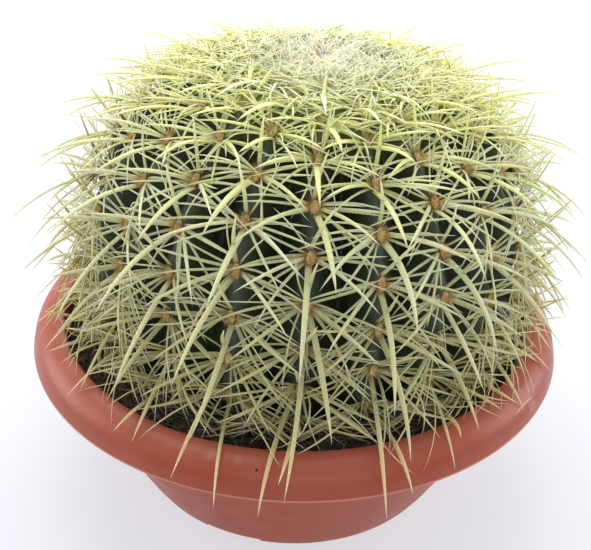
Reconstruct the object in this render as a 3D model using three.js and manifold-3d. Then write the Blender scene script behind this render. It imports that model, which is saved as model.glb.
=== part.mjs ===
// A round, ribbed cactus with straw-yellow spines, planted in a low terracotta-coloured plastic bowl.
// Millimetres, +Z up. The origin is the middle of the bowl's foot, on the surface it stands on, and
// -Y is the side that faces the viewer. Everything here follows from the sizes named first.

import * as THREE from "three";
import { mergeVertices } from "three/addons/utils/BufferGeometryUtils.js";
import Module from "manifold-3d";

const wasm = await Module();
wasm.setup();

const DEGREE = Math.PI / 180;
const GAP = 0.3; // clearance between pieces that touch

// Bowl
const BOWL_HEIGHT = 75.4;
const FOOT_RADIUS = 67.3;
const RIM_RADIUS = 110; // widest circle, at the lower edge of the rim band
const MOUTH_RADIUS = 97.7; // top edge of the rim
const BAND_FOOT = 62.6; // height of the band's lower edge
const WALL = 2.2;
const FLOOR = 4.5;
const WALL_SLOPE = 0.521; // the wall goes out by this much for each millimetre up
const NOTCH_COUNT = 3;
const NOTCH_WIDTH = 24;
const NOTCH_HEIGHT = 2.2;
const NOTCH_TURN = -20; // degrees from the front, to the left
const DRAIN_COUNT = 6;
const DRAIN_RADIUS = 4;
const DRAIN_CIRCLE = 45;
const BOWL_SIDES = 60;

// Soil
const SOIL_EDGE = 66.5; // height at the bowl's wall
const SOIL_RISE = 2; // how much higher it lies at the stem

// Stem
const RIB_COUNT = 21;
const STEM_RADIUS = 86.6; // to the rib crests
const STEM_HALF_HEIGHT = 75.9;
const SQUARENESS = 0.836; // 1 is an ellipse, less is boxier
const STEM_CENTRE = new THREE.Vector3(3.5, 1.7, BOWL_HEIGHT + 31.7);
const LEAN_RIGHT = 3.7 * DEGREE;
const LEAN_FORWARD = -3 * DEGREE;
const RIB_PHASE = -0.009; // radians, of the front rib
const RIB_TWIST = -0.0002; // radians for each millimetre up
const RIB_DEPTH = 12.5;
const AREOLE_GAP = 17; // along a rib crest
const FIRST_AREOLE = 31; // from the top of the stem, along the crest
const LAST_ROW = 16; // half gaps from the first areole to the lowest
const AREOLE_SWELL = 1.2;
const UNDERSIDE_HEIGHT = -50; // where the ribs end, measured from the stem's middle
const ROOT_RADIUS = 17;
const ROOT_END = -74;

// Crown
const CROWN_RADIUS = 28.4;
const CROWN_SEAT = 70.8; // floor of the dish in the stem's top, from the stem's middle
const CROWN_TOP = 76.4;
const CROWN_SPINES = 150;
const CROWN_CONE = 30 * DEGREE; // young spines stay inside this cone, older ones outside

// Spines: length, width at the root, lean from the surface's normal, turn from the downward direction
const SPINES = {
  lower: { length: 44, width: 2.5, lean: 30, turn: 0, hook: 48, root: [2.4, 1.9] },
  upper: { length: 27, width: 1.7, lean: 46, turn: 176, hook: 0, root: [-3.2, -1.2] },
  left: { length: 31, width: 1.5, lean: 66, turn: -98, hook: 0, root: [-0.8, -1.6] },
  right: { length: 31, width: 1.5, lean: 66, turn: 98, hook: 0, root: [0.8, 1.6] },
  slant: { length: 33, width: 1.6, lean: 60, turn: 46, hook: 0, root: [1.8, 1.5] },
};
const YOUNG_LENGTH = 58; // areoles nearer the top than this have fewer and straighter spines
const OLD_LENGTH = 95; // below this the long lower spines grow straighter
const LOWEST_LENGTH = 136; // and below this shorter
const ROOT_DEPTH = 3.4; // how far a spine's root is sunk below the crest
const SPINE_CLEARANCE = 2.4; // between a spine's middle line and the bowl or soil
const SPINE_SPACE = 2.2; // between the middle lines of spines from different areoles

// Colours from the photograph, in linear values by way of sRGB hex
const COLOURS = {
  bowl: 0xa5564a,
  soil: 0x3a2f28,
  stem: 0x4b5c33,
  crown: 0xd9d6a0,
};

function material(colour, roughness) {
  return new THREE.MeshStandardMaterial({ color: colour, roughness, metalness: 0 });
}

// An even scatter between -0.5 and 0.5: the same for the same pair of whole numbers.
function scatter(i, k) {
  const value = 0.7548776662 * i + 0.569840291 * k + 0.31;
  return value - Math.floor(value) - 0.5;
}

// A closed solid from a geometry whose faces meet edge to edge.
function solidOf(geometry) {
  geometry.deleteAttribute("normal");
  geometry.deleteAttribute("uv");
  const merged = mergeVertices(geometry, 1e-4);
  const corners = merged.index.array;
  const kept = [];
  for (let i = 0; i < corners.length; i += 3) {
    const [a, b, c] = [corners[i], corners[i + 1], corners[i + 2]];
    if (a !== b && b !== c && c !== a) kept.push(a, b, c);
  }
  const mesh = new wasm.Mesh({
    numProp: 3,
    vertProperties: Float32Array.from(merged.attributes.position.array),
    triVerts: Uint32Array.from(kept),
  });
  return new wasm.Manifold(mesh);
}

// A named mesh from a solid.
function meshOf(name, solid, look) {
  const result = solid.getMesh();
  const geometry = new THREE.BufferGeometry();
  geometry.setAttribute("position", new THREE.BufferAttribute(result.vertProperties, 3));
  geometry.setIndex(new THREE.BufferAttribute(result.triVerts, 1));
  geometry.computeVertexNormals();
  const mesh = new THREE.Mesh(geometry, look);
  mesh.name = name;
  return mesh;
}

// A solid of revolution about Z from [radius, height] pairs that go up the outside.
function turned(profile, sides) {
  const points = profile.map(([radius, height]) => new THREE.Vector2(radius, height));
  return solidOf(new THREE.LatheGeometry(points, sides).rotateX(Math.PI / 2));
}

function joined(solids) {
  return wasm.Manifold.union(solids);
}

// Bowl

// The rim band's outside is a quarter of an ellipse from the mouth out and down to the lip.
const BAND_WIDTH = RIM_RADIUS - MOUTH_RADIUS;
const BAND_DROP = 11.7;

function bandHeight(radius) {
  const across = Math.min(1, Math.max(0, (radius - MOUTH_RADIUS) / BAND_WIDTH));
  return BOWL_HEIGHT - BAND_DROP + BAND_DROP * Math.sqrt(1 - across * across);
}

function bandPoint(angle, inset) {
  return [
    MOUTH_RADIUS + (BAND_WIDTH - inset) * Math.cos(angle),
    BOWL_HEIGHT - BAND_DROP + (BAND_DROP - inset) * Math.sin(angle),
  ];
}

function wallRadius(height) {
  return FOOT_RADIUS + WALL_SLOPE * height;
}

// Inside, the wall turns steeper behind the band, in a collar up to the mouth.
const COLLAR_FOOT = BAND_FOOT - 4;
const COLLAR_TOP = BOWL_HEIGHT - 1.6;

function innerRadius(height) {
  if (height < COLLAR_FOOT) return wallRadius(height) - WALL;
  const foot = wallRadius(COLLAR_FOOT) - WALL;
  const share = (height - COLLAR_FOOT) / (COLLAR_TOP - COLLAR_FOOT);
  return foot + share * (MOUTH_RADIUS - 1.2 - foot);
}

function bowl() {
  const profile = [
    [0, 0],
    [FOOT_RADIUS - 1, 0],
    [FOOT_RADIUS, 0.8],
    [wallRadius(BAND_FOOT - 5), BAND_FOOT - 5],
    [MOUTH_RADIUS + 1.4, BAND_FOOT + 3],
  ];
  // Under the band the rim is hollow, so its inner face follows the outer one.
  for (const angle of [75, 35]) {
    profile.push(bandPoint(angle * DEGREE, WALL));
  }
  profile.push([RIM_RADIUS - WALL, BAND_FOOT]);
  profile.push([RIM_RADIUS, BAND_FOOT]);
  for (const angle of [0, 22, 45, 68, 90]) {
    profile.push(bandPoint(angle * DEGREE, 0));
  }
  profile.push([MOUTH_RADIUS - 0.8, BOWL_HEIGHT - 0.5]);
  profile.push([innerRadius(COLLAR_TOP), COLLAR_TOP]);
  profile.push([innerRadius(COLLAR_FOOT), COLLAR_FOOT]);
  profile.push([innerRadius(FLOOR + 3), FLOOR + 3]);
  profile.push([innerRadius(FLOOR) - 3, FLOOR]);
  profile.push([0, FLOOR]);
  let solid = turned(profile, BOWL_SIDES);

  // Three channels run under the foot from near the middle to its edge.
  const channelLength = 60;
  for (let i = 0; i < NOTCH_COUNT; i += 1) {
    const channel = new THREE.BoxGeometry(NOTCH_WIDTH, channelLength, 2 * NOTCH_HEIGHT);
    channel.translate(0, -(FOOT_RADIUS - 32 + channelLength / 2), 0);
    channel.rotateZ((NOTCH_TURN + (i * 360) / NOTCH_COUNT) * DEGREE);
    solid = solid.subtract(solidOf(channel));
  }
  // Drainage holes, every second one in a channel.
  for (let i = 0; i < DRAIN_COUNT; i += 1) {
    const drain = new THREE.CylinderGeometry(DRAIN_RADIUS, DRAIN_RADIUS, 4 * FLOOR, 16);
    drain.rotateX(Math.PI / 2);
    drain.translate(0, -DRAIN_CIRCLE, 0);
    drain.rotateZ((NOTCH_TURN + (i * 360) / DRAIN_COUNT) * DEGREE);
    solid = solid.subtract(solidOf(drain));
  }
  return solid;
}

// Stem

// The outline from the top of the stem to its underside, as points with the length along it.
const outline = [];
for (let i = 0; i <= 900; i += 1) {
  const angle = Math.PI / 2 - (i * Math.PI) / 900;
  const upright = Math.sin(angle);
  const radius = STEM_RADIUS * Math.max(0, Math.cos(angle)) ** SQUARENESS;
  const height = STEM_HALF_HEIGHT * Math.sign(upright) * Math.abs(upright) ** SQUARENESS;
  const last = outline[i - 1];
  const length = last ? last.length + Math.hypot(radius - last.radius, height - last.height) : 0;
  outline.push({ radius, height, length });
}

// The outline at a length from the top: its point, the way down it and the way out of it.
function outlineAt(length) {
  let i = outline.findIndex((point) => point.length >= length);
  i = Math.min(Math.max(i, 1), outline.length - 1);
  const [a, b] = [outline[i - 1], outline[i]];
  const step = b.length - a.length;
  const part = (length - a.length) / step;
  const down = [(b.radius - a.radius) / step, (b.height - a.height) / step];
  return {
    radius: a.radius + part * (b.radius - a.radius),
    height: a.height + part * (b.height - a.height),
    down,
    out: [-down[1], down[0]],
  };
}

// Ribs are counted from -10 to 10, with 0 at the front. Neighbours are half a gap out of step.
function ribNumber(k) {
  return k > RIB_COUNT / 2 ? k - RIB_COUNT : k;
}

function ribAngle(k, height) {
  return RIB_PHASE + (2 * Math.PI * k) / RIB_COUNT + RIB_TWIST * height;
}

function isEven(n) {
  return Math.abs(n) % 2 === 0;
}

// The groove's depth grows with the distance between the ribs, from nothing at the crown.
function grooveDepth(radius, length) {
  const fade = Math.min(1, Math.max(0.25, (length - FIRST_AREOLE + 4) / 24));
  return Math.min(RIB_DEPTH, (fade * Math.PI * radius) / RIB_COUNT);
}

function rowLength(row) {
  return FIRST_AREOLE + (row * AREOLE_GAP) / 2;
}

const CROSS_STEPS = 2; // from one crest to the next

function stemSolid() {
  const rows = [];
  rows.push([0, CROWN_SEAT]);
  rows.push([CROWN_RADIUS + GAP, CROWN_SEAT]);
  rows.push([CROWN_RADIUS + GAP, outlineAt(FIRST_AREOLE - 2).height]);
  const ribbed = [];
  for (let row = 0; row <= LAST_ROW; row += 1) {
    ribbed.push(row);
    const { radius, height } = outlineAt(rowLength(row));
    rows.push([radius, height]);
  }
  rows.push([62, UNDERSIDE_HEIGHT - 5]);
  rows.push([ROOT_RADIUS + 3, UNDERSIDE_HEIGHT - 9]);
  rows.push([ROOT_RADIUS, UNDERSIDE_HEIGHT - 14]);
  rows.push([ROOT_RADIUS * 0.7, ROOT_END]);
  rows.push([0, ROOT_END]);
  rows.reverse();

  const sides = RIB_COUNT * CROSS_STEPS;
  const points = rows.map(([radius, height]) => new THREE.Vector2(radius, height));
  const geometry = new THREE.LatheGeometry(points, sides);
  const position = geometry.attributes.position;
  for (let side = 0; side <= sides; side += 1) {
    const step = side % CROSS_STEPS;
    const isCrest = step === 0;
    const rib = ribNumber(Math.floor(side / CROSS_STEPS) % RIB_COUNT);
    for (let j = 0; j < rows.length; j += 1) {
      let [radius, height] = rows[j];
      const row = rows.length - 1 - j - 3;
      if (row >= 0 && row <= LAST_ROW) {
        const length = rowLength(row);
        const { out } = outlineAt(length);
        const swollen = isEven(rib) === isEven(row);
        const swell = (swollen ? AREOLE_SWELL : -AREOLE_SWELL) * Math.min(1, length / 60);
        const shift = isCrest ? swell : -grooveDepth(radius, length);
        radius += out[0] * shift;
        height += out[1] * shift;
      }
      const angle = ribAngle((side % sides) / CROSS_STEPS, height);
      position.setXYZ(side * rows.length + j, radius * Math.sin(angle), height, radius * Math.cos(angle));
    }
  }
  return solidOf(geometry.rotateX(Math.PI / 2));
}

// The plant's place in the bowl.
const plant = new THREE.Group();
plant.position.copy(STEM_CENTRE);
plant.rotation.set(LEAN_FORWARD, LEAN_RIGHT, 0, "YXZ");
plant.updateMatrixWorld();

// The lowest height that a spine's middle line may have at a distance from the bowl's axis.
function groundHeight(distance) {
  if (distance < MOUTH_RADIUS - 4) return SOIL_EDGE + SOIL_RISE + SPINE_CLEARANCE;
  if (distance < MOUTH_RADIUS) return BOWL_HEIGHT + SPINE_CLEARANCE;
  if (distance < RIM_RADIUS + SPINE_CLEARANCE) return bandHeight(distance) + SPINE_CLEARANCE;
  return 0;
}

// How far out from the stem's axis a spine of the stem has to stay, above the crown's edge.
function crownEdge(height) {
  return CROWN_RADIUS + 2.5 + Math.max(0, height - CROWN_SEAT) * Math.tan(CROWN_CONE);
}

// A three-sided needle through the given points, which ends in a sharp tip. Its flat side faces out.
function needle(points, width, out) {
  const corners = [];
  const along = new THREE.Vector3();
  const side = new THREE.Vector3();
  const lift = new THREE.Vector3();
  for (let i = 0; i < points.length - 1; i += 1) {
    along.subVectors(points[i + 1], points[i]).normalize();
    side.crossVectors(along, out).normalize();
    lift.crossVectors(side, along).normalize();
    const half = (width / 2) * (i === 0 ? 1 : 0.8);
    corners.push(points[i].clone().addScaledVector(side, half).addScaledVector(lift, half * 0.4));
    corners.push(points[i].clone().addScaledVector(side, -half).addScaledVector(lift, half * 0.4));
    corners.push(points[i].clone().addScaledVector(lift, -half * 0.8));
  }
  corners.push(points[points.length - 1]);
  const faces = [0, 1, 2];
  const rings = points.length - 1;
  for (let ring = 0; ring < rings - 1; ring += 1) {
    for (let i = 0; i < 3; i += 1) {
      const [a, b] = [ring * 3 + i, ring * 3 + ((i + 1) % 3)];
      faces.push(a, a + 3, b, b, a + 3, b + 3);
    }
  }
  const tip = corners.length - 1;
  for (let i = 0; i < 3; i += 1) {
    faces.push((rings - 1) * 3 + i, tip, (rings - 1) * 3 + ((i + 1) % 3));
  }
  const mesh = new wasm.Mesh({
    numProp: 3,
    vertProperties: Float32Array.from(corners.flatMap((corner) => corner.toArray())),
    triVerts: Uint32Array.from(faces),
  });
  return new wasm.Manifold(mesh);
}

// An areole: its place on a crest, in the plant's own frame, with the ways out, down and across.
function areole(rib, row) {
  const length = rowLength(row);
  const { radius, height, out, down } = outlineAt(length);
  const angle = ribAngle(rib, height);
  const [sin, cos] = [Math.sin(angle), Math.cos(angle)];
  return {
    length,
    place: new THREE.Vector3(radius * sin, -radius * cos, height),
    out: new THREE.Vector3(out[0] * sin, -out[0] * cos, out[1]),
    down: new THREE.Vector3(down[0] * sin, -down[0] * cos, down[1]),
    across: new THREE.Vector3(cos, sin, 0),
  };
}

// A direction that leans from the surface's normal, turned from the downward direction.
function leaned(at, lean, turn) {
  const [l, t] = [lean * DEGREE, turn * DEGREE];
  return new THREE.Vector3()
    .addScaledVector(at.out, Math.cos(l))
    .addScaledVector(at.down, Math.sin(l) * Math.cos(t))
    .addScaledVector(at.across, Math.sin(l) * Math.sin(t));
}

// True where a point of a spine is clear of the bowl, the soil and the crown.
function isClear(point) {
  const distance = Math.hypot(point.x, point.y);
  if (point.z > CROWN_SEAT - 4 && distance < crownEdge(point.z)) return false;
  const world = plant.localToWorld(point.clone());
  return world.z > groundHeight(Math.hypot(world.x, world.y));
}

// The middle line of one spine of an areole, bent clear of the bowl, the soil and the crown.
function spineLine(at, kind, reach, lean, turn) {
  const [rootDown, rootAcross] = kind.root;
  const first = leaned(at, lean, turn);
  const second = leaned(at, lean + kind.hook, turn);
  const start = at.place.clone();
  start.addScaledVector(at.down, rootDown);
  start.addScaledVector(at.across, turn < 0 ? -Math.abs(rootAcross) : rootAcross);
  const worldUp = new THREE.Vector3(0, 0, 1);
  const awayFromAxis = new THREE.Vector3(at.place.x, at.place.y, 0).normalize();
  for (let attempt = 0; attempt < 30; attempt += 1) {
    const knee = start.clone().addScaledVector(first, reach * 0.5);
    const tip = knee.clone().addScaledVector(second, reach * 0.5);
    const samples = [];
    for (let part = 1; part <= 6; part += 1) {
      samples.push(start.clone().lerp(knee, part / 6), knee.clone().lerp(tip, part / 6));
    }
    const blocked = samples.find((point) => !isClear(point));
    if (!blocked) {
      const root = start.clone().addScaledVector(at.out, -ROOT_DEPTH);
      return kind.hook ? [root, knee, tip] : [root, tip];
    }
    const push = blocked.z > 0 ? awayFromAxis : worldUp;
    first.addScaledVector(push, 0.1).normalize();
    second.addScaledVector(push, 0.14).normalize();
  }
  return null;
}

function stretches(line) {
  return line.slice(1).map((point, i) => new THREE.Line3(line[i], point));
}

// True where a line passes every spine of the other areoles without touching it.
function passes(line, others, areoleNumber) {
  return stretches(line).every((stretch) =>
    others.every(
      (other) =>
        other.areoleNumber === areoleNumber ||
        stretch.distanceSqToLine3(other.stretch) > SPINE_SPACE ** 2,
    ),
  );
}

// The spines of one areole. Each is turned a little until it grows past those of its neighbours.
function areoleSpines(at, seed, mirror, grown) {
  const solids = [];
  const share = Math.min(1, 0.38 + (at.length - FIRST_AREOLE) / 130);
  // Towards the foot the long lower spines are straighter, and last of all shorter.
  const age = Math.min(1, Math.max(0, (at.length - OLD_LENGTH) / 35));
  Object.entries(SPINES).forEach(([name, shape], i) => {
    const isYoung = at.length < YOUNG_LENGTH;
    if (isYoung && name === "slant") return;
    const kind = isYoung ? { ...shape, hook: 0 } : { ...shape };
    if (name === "lower" && !isYoung) {
      kind.hook -= 30 * age;
      kind.lean += 6 * age;
      kind.length *= at.length > LOWEST_LENGTH ? 0.8 : 1;
    }
    const lean = kind.lean + 14 * scatter(seed, 3 * i);
    const turn = (name === "slant" ? mirror : 1) * kind.turn;
    const reach = kind.length * share * (1 + 0.2 * scatter(seed, 3 * i + 1));
    for (const nudge of [0, 7, -7, 14, -14, 21, -21]) {
      const line = spineLine(at, kind, reach, lean, turn + 20 * scatter(seed, 3 * i + 2) + nudge);
      if (line && passes(line, grown, seed)) {
        grown.push(...stretches(line).map((stretch) => ({ stretch, areoleNumber: seed })));
        solids.push(needle(line, kind.width, at.out));
        return;
      }
    }
  });
  return solids;
}

function cactus() {
  const solids = [stemSolid()];
  const grown = [];
  for (let k = 0; k < RIB_COUNT; k += 1) {
    const rib = ribNumber(k);
    for (let row = 0; row <= LAST_ROW; row += 1) {
      if (isEven(rib) !== isEven(row)) continue;
      const at = areole(rib, row);
      const lowest = plant.localToWorld(at.place.clone()).z;
      if (lowest < SOIL_EDGE + SOIL_RISE + 4) continue;
      const mirror = isEven(Math.floor(row / 2) + k) ? -1 : 1;
      solids.push(...areoleSpines(at, k * 40 + row, mirror, grown));
    }
  }
  return joined(solids);
}

// Crown

function crown() {
  const bottom = CROWN_SEAT + GAP;
  const rise = CROWN_TOP - bottom;
  const profile = [
    [0, bottom],
    [CROWN_RADIUS, bottom],
    [CROWN_RADIUS, bottom + rise * 0.35],
  ];
  for (const angle of [25, 50, 70]) {
    const a = angle * DEGREE;
    profile.push([CROWN_RADIUS * Math.cos(a) ** 0.7, bottom + rise * (0.35 + 0.65 * Math.sin(a))]);
  }
  profile.push([0, CROWN_TOP]);
  const solids = [turned(profile, 30)];
  const up = new THREE.Vector3(0, 0, 1);
  const goldenAngle = 137.508 * DEGREE;
  for (let i = 0; i < CROWN_SPINES; i += 1) {
    const share = Math.sqrt((i + 0.5) / CROWN_SPINES);
    const angle = i * goldenAngle;
    const away = new THREE.Vector3(Math.sin(angle), -Math.cos(angle), 0);
    const lean = (3 + 23 * share) * DEGREE + 0.05 * scatter(i, 1);
    const way = away.clone().multiplyScalar(Math.sin(lean)).addScaledVector(up, Math.cos(lean));
    const root = away.clone().multiplyScalar((CROWN_RADIUS - 2.2) * share);
    root.z = bottom + 1;
    const length = (6 + 6.5 * share) * (1 + 0.3 * scatter(i, 2));
    solids.push(needle([root, root.clone().addScaledVector(way, length)], 1.3, away));
  }
  return joined(solids);
}

// Soil

// The soil's top, which rises a little towards the stem and is uneven by about a millimetre.
function soilTop(x, y) {
  const distance = Math.hypot(x, y) / innerRadius(SOIL_EDGE);
  const rise = SOIL_RISE * (1 - distance ** 2) * 1.6;
  const uneven = 0.5 * Math.sin(x * 0.21 + 1) * Math.cos(y * 0.17) + 0.3 * Math.sin(y * 0.43 + x * 0.3);
  return SOIL_EDGE + Math.min(SOIL_RISE, rise) - 0.8 + uneven;
}

function soil() {
  const rings = [0, 0.5, 0.76, 0.84, 0.92, 1];
  const edge = innerRadius(SOIL_EDGE) - GAP;
  const profile = [
    [0, FLOOR + GAP],
    [innerRadius(FLOOR) - 3.2, FLOOR + GAP],
    [innerRadius(FLOOR + 3) - GAP, FLOOR + 3 + GAP],
    [innerRadius(COLLAR_FOOT) - 1.2 * GAP, COLLAR_FOOT],
  ];
  const below = profile.length;
  for (const ring of [...rings].reverse()) {
    profile.push([edge * ring, SOIL_EDGE]);
  }
  const points = profile.map(([radius, height]) => new THREE.Vector2(radius, height));
  const geometry = new THREE.LatheGeometry(points, 48).rotateX(Math.PI / 2);
  const position = geometry.attributes.position;
  for (let i = 0; i < position.count; i += 1) {
    if (i % profile.length < below) continue;
    position.setZ(i, soilTop(position.getX(i), position.getY(i)));
  }
  // The stem's hole: its outline below the soil, a little wider all round.
  const seat = [
    [0, ROOT_END - 2 * GAP],
    [ROOT_RADIUS + 3 + 2 * GAP, ROOT_END - 2 * GAP],
    [ROOT_RADIUS + 5, UNDERSIDE_HEIGHT - 9 - 2 * GAP],
    [64, UNDERSIDE_HEIGHT - 5 - 3 * GAP],
  ];
  for (const length of [172, 164, 156, 148]) {
    const { radius, height, out } = outlineAt(length);
    seat.push([radius + out[0] * 2, height + out[1] * 2]);
  }
  seat.push([STEM_RADIUS + 2, 0]);
  seat.push([0, 0]);
  const hole = new THREE.LatheGeometry(seat.map(([r, h]) => new THREE.Vector2(r, h)), 48);
  hole.rotateX(Math.PI / 2);
  hole.applyMatrix4(plant.matrixWorld);
  return solidOf(geometry).subtract(solidOf(hole));
}

plant.add(meshOf("cactus", cactus(), material(COLOURS.stem, 0.6)));
plant.add(meshOf("crown", crown(), material(COLOURS.crown, 0.9)));

const pottedCactus = new THREE.Group();
pottedCactus.add(meshOf("bowl", bowl(), material(COLOURS.bowl, 0.5)));
pottedCactus.add(meshOf("soil", soil(), material(COLOURS.soil, 0.95)));
pottedCactus.add(plant);

export default pottedCactus;
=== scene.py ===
# A round, ribbed cactus with straw-yellow spines, planted in a low terracotta-coloured plastic bowl.
# Metres, +Z up. The middle of the bowl's foot is the origin, and -Y faces the viewer.

import math
import random
from collections import namedtuple

import bpy
import numpy as np
from bpy.props import FloatProperty, FloatVectorProperty, IntProperty, PointerProperty
from mathutils import Matrix, Vector, noise


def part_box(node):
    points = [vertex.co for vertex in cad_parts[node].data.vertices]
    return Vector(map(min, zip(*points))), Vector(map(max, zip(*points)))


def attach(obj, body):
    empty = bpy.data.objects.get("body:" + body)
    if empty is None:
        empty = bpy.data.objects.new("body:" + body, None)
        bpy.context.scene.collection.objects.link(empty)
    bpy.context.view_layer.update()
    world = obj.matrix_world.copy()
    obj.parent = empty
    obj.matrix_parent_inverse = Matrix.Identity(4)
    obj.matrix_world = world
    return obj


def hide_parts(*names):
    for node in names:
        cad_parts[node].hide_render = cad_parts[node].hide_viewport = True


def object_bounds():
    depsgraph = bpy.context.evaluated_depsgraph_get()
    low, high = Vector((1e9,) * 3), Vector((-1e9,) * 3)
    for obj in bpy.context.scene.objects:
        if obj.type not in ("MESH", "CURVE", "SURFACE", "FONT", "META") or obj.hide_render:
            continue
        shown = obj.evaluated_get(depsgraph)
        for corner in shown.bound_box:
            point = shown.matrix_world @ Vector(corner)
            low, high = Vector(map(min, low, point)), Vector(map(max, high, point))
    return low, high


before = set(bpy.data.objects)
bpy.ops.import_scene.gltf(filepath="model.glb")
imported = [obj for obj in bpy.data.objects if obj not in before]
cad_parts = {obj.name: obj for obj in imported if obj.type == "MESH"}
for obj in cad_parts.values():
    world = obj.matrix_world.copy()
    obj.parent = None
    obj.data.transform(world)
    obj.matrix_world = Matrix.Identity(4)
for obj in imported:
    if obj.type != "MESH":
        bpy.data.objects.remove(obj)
CAD_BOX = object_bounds()

bl_info = {
    "name": "Potted round cactus",
    "version": (1, 0, 0),
    "blender": (4, 5, 0),
    "location": "3D View > Sidebar > Cactus",
    "description": "Models a round, ribbed cactus in a low plastic bowl",
    "category": "Add Mesh",
}


def mm(value):
    return value / 1000


def srgb(red, green, blue):
    """A linear colour from the 0 to 255 values that a screen shows."""
    shares = [value / 255 for value in (red, green, blue)]
    return tuple(s / 12.92 if s <= 0.04045 else ((s + 0.055) / 1.055) ** 2.4 for s in shares)


UP = Vector((0, 0, 1))
FULL_TURN = 2 * math.pi
BOWL_TOP, RIM_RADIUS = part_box("bowl")[1].z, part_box("bowl")[1].x
SOIL_LOW, SOIL_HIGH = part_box("soil")
SOIL_EDGE = mm(66.5)  # height of the soil at the bowl's wall


# Settings

def a_length(name, description, millimetres):
    return FloatProperty(name=name, description=description, default=mm(millimetres), unit="LENGTH",
                         subtype="DISTANCE", precision=4)


def an_angle(name, description, degrees):
    return FloatProperty(name=name, description=description, default=math.radians(degrees),
                         unit="ROTATION", subtype="ANGLE")


def a_colour(name, description, *levels):
    return FloatVectorProperty(name=name, description=description, size=3, min=0, max=1,
                               default=srgb(*levels), subtype="COLOR")


def a_share(name, description, default):
    return FloatProperty(name=name, description=description, default=default, min=0, max=1,
                         subtype="FACTOR")


def a_number(name, description, default, unit="NONE"):
    return FloatProperty(name=name, description=description, default=default, min=0, unit=unit)


def a_count(name, description, default, most, least=0):
    return IntProperty(name=name, description=description, default=default, min=least, max=most)


class BowlSettings(bpy.types.PropertyGroup):
    """Sizes and colours of the bowl"""
    foot_radius: a_length("Foot radius", "Radius of the flat foot", 67.3)
    mouth_radius: a_length("Mouth radius", "Radius of the rim's top edge", 97.7)
    band_drop: a_length("Band drop", "Height of the rounded part of the rim band", 11.7)
    lip: a_length("Lip", "Height of the straight lip below the rounded band", 1.1)
    wall: a_length("Wall", "Thickness of the wall", 2.2)
    floor: a_length("Floor", "Thickness of the bowl's floor", 4.5)
    wall_slope: a_share("Wall slope", "How far the wall goes out per length up", 0.521)
    notch_width: a_length("Notch width", "Width of a channel under the foot", 24)
    notch_height: a_length("Notch height", "Height of a channel under the foot", 2.2)
    notch_turn: an_angle("Notch turn", "Turn of the first channel from the front", -20)
    drain_radius: a_length("Drain radius", "Radius of a drainage hole", 4)
    sides: a_count("Sides", "Faces round the bowl", 240, 512, 24)
    colour: a_colour("Colour", "Colour of the plastic", 157, 69, 45)
    worn_colour: a_colour("Worn colour", "Colour of the dusty, rubbed patches", 168, 98, 84)


class PlantSettings(bpy.types.PropertyGroup):
    """Sizes and colours of the cactus stem"""
    ribs: a_count("Ribs", "Number of ribs", 21, 40, 8)
    radius: a_length("Radius", "Radius to the rib crests", 86.6)
    half_height: a_length("Half height", "From the stem's middle to its top", 75.9)
    squareness: a_share("Squareness", "1 is an ellipse, less is boxier", 0.836)
    groove: a_length("Groove", "Depth of the grooves between the ribs", 12.5)
    areole_gap: a_length("Areole gap", "Distance of areoles along a crest", 17)
    swell: a_length("Swell", "Height of the swelling under an areole", 1.2)
    lean_right: an_angle("Lean right", "Lean of the plant to the viewer's right", 3.7)
    lean_back: an_angle("Lean back", "Lean of the plant away from the viewer", 3)
    skin_colour: a_colour("Skin", "Green of the stem's sides", 32, 41, 15)
    # painted shade: the grooves are painted nearly black where little light reaches into them
    groove_shade_colour: a_colour("Groove colour", "Dark green deep in the grooves", 10, 13, 3)
    bloom_colour: a_colour("Bloom", "Greyish wax bloom on the crests", 98, 108, 94)


class SpineSettings(bpy.types.PropertyGroup):
    """Numbers and colours of the spines"""
    fullness: a_share("Fullness", "Share of the twin spines that grow", 0.96)
    low_tangle: a_count("Low tangle", "Thin extra spines on each of the lowest areoles", 7, 30)
    side_wisps: a_count("Side wisps", "Thin upright spines on each areole of the sides", 3, 12)
    young: a_count("Young spines", "Spines in the crown", 480, 900, 20)
    straw_colour: a_colour("Straw", "Colour of a grown spine", 199, 203, 162)
    # lime and cream are lighter than the spines' own colours: painted light from the strong light above and
    # its glare on the crown
    lime_colour: a_colour("Lime", "Colour of a young spine", 227, 232, 137)
    cream_colour: a_colour("Cream", "Colour of the crown's spines", 231, 238, 220)
    root_colour: a_colour("Root", "Colour at the base of a spine", 200, 152, 84)
    # besides the faint horny tip, this colour paints warm light from the bowl on the tips over its front rim
    tip_colour: a_colour("Tip", "Colour of the horny tip", 232, 190, 146)


class WoolSettings(bpy.types.PropertyGroup):
    """Numbers and colours of the felt and wool"""
    hairs: a_count("Hairs", "Hairs on an areole", 56, 60, 4)
    crown_hairs: a_count("Crown hairs", "Hairs in the crown", 2600, 6000, 100)
    felt_colour: a_colour("Felt", "Colour of a grown areole", 212, 180, 104)
    cream_colour: a_colour("Cream", "Colour of the crown's wool", 228, 224, 196)
    tan_colour: a_colour("Tan", "Colour of the crown's darker wool", 196, 164, 134)


class SoilSettings(bpy.types.PropertyGroup):
    """Sizes, numbers and colours of the soil"""
    rise: a_length("Rise", "How much higher the soil lies at the stem", 2)
    roughness: a_length("Roughness", "Height of the soil's lumps", 1.6)
    crumbs: a_count("Crumbs", "Loose crumbs on the soil", 1800, 4000)
    fibres: a_count("Fibres", "Fibres on the soil", 1300, 2000)
    old_spines: a_count("Old spines", "Dead spines that lie round the stem", 420, 1000)
    dark_colour: a_colour("Dark", "Colour of the wet soil", 42, 34, 29)
    brown_colour: a_colour("Brown", "Colour of the peat", 104, 84, 70)
    fibre_colour: a_colour("Fibre", "Colour of the dry fibres", 156, 148, 124)


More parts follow.
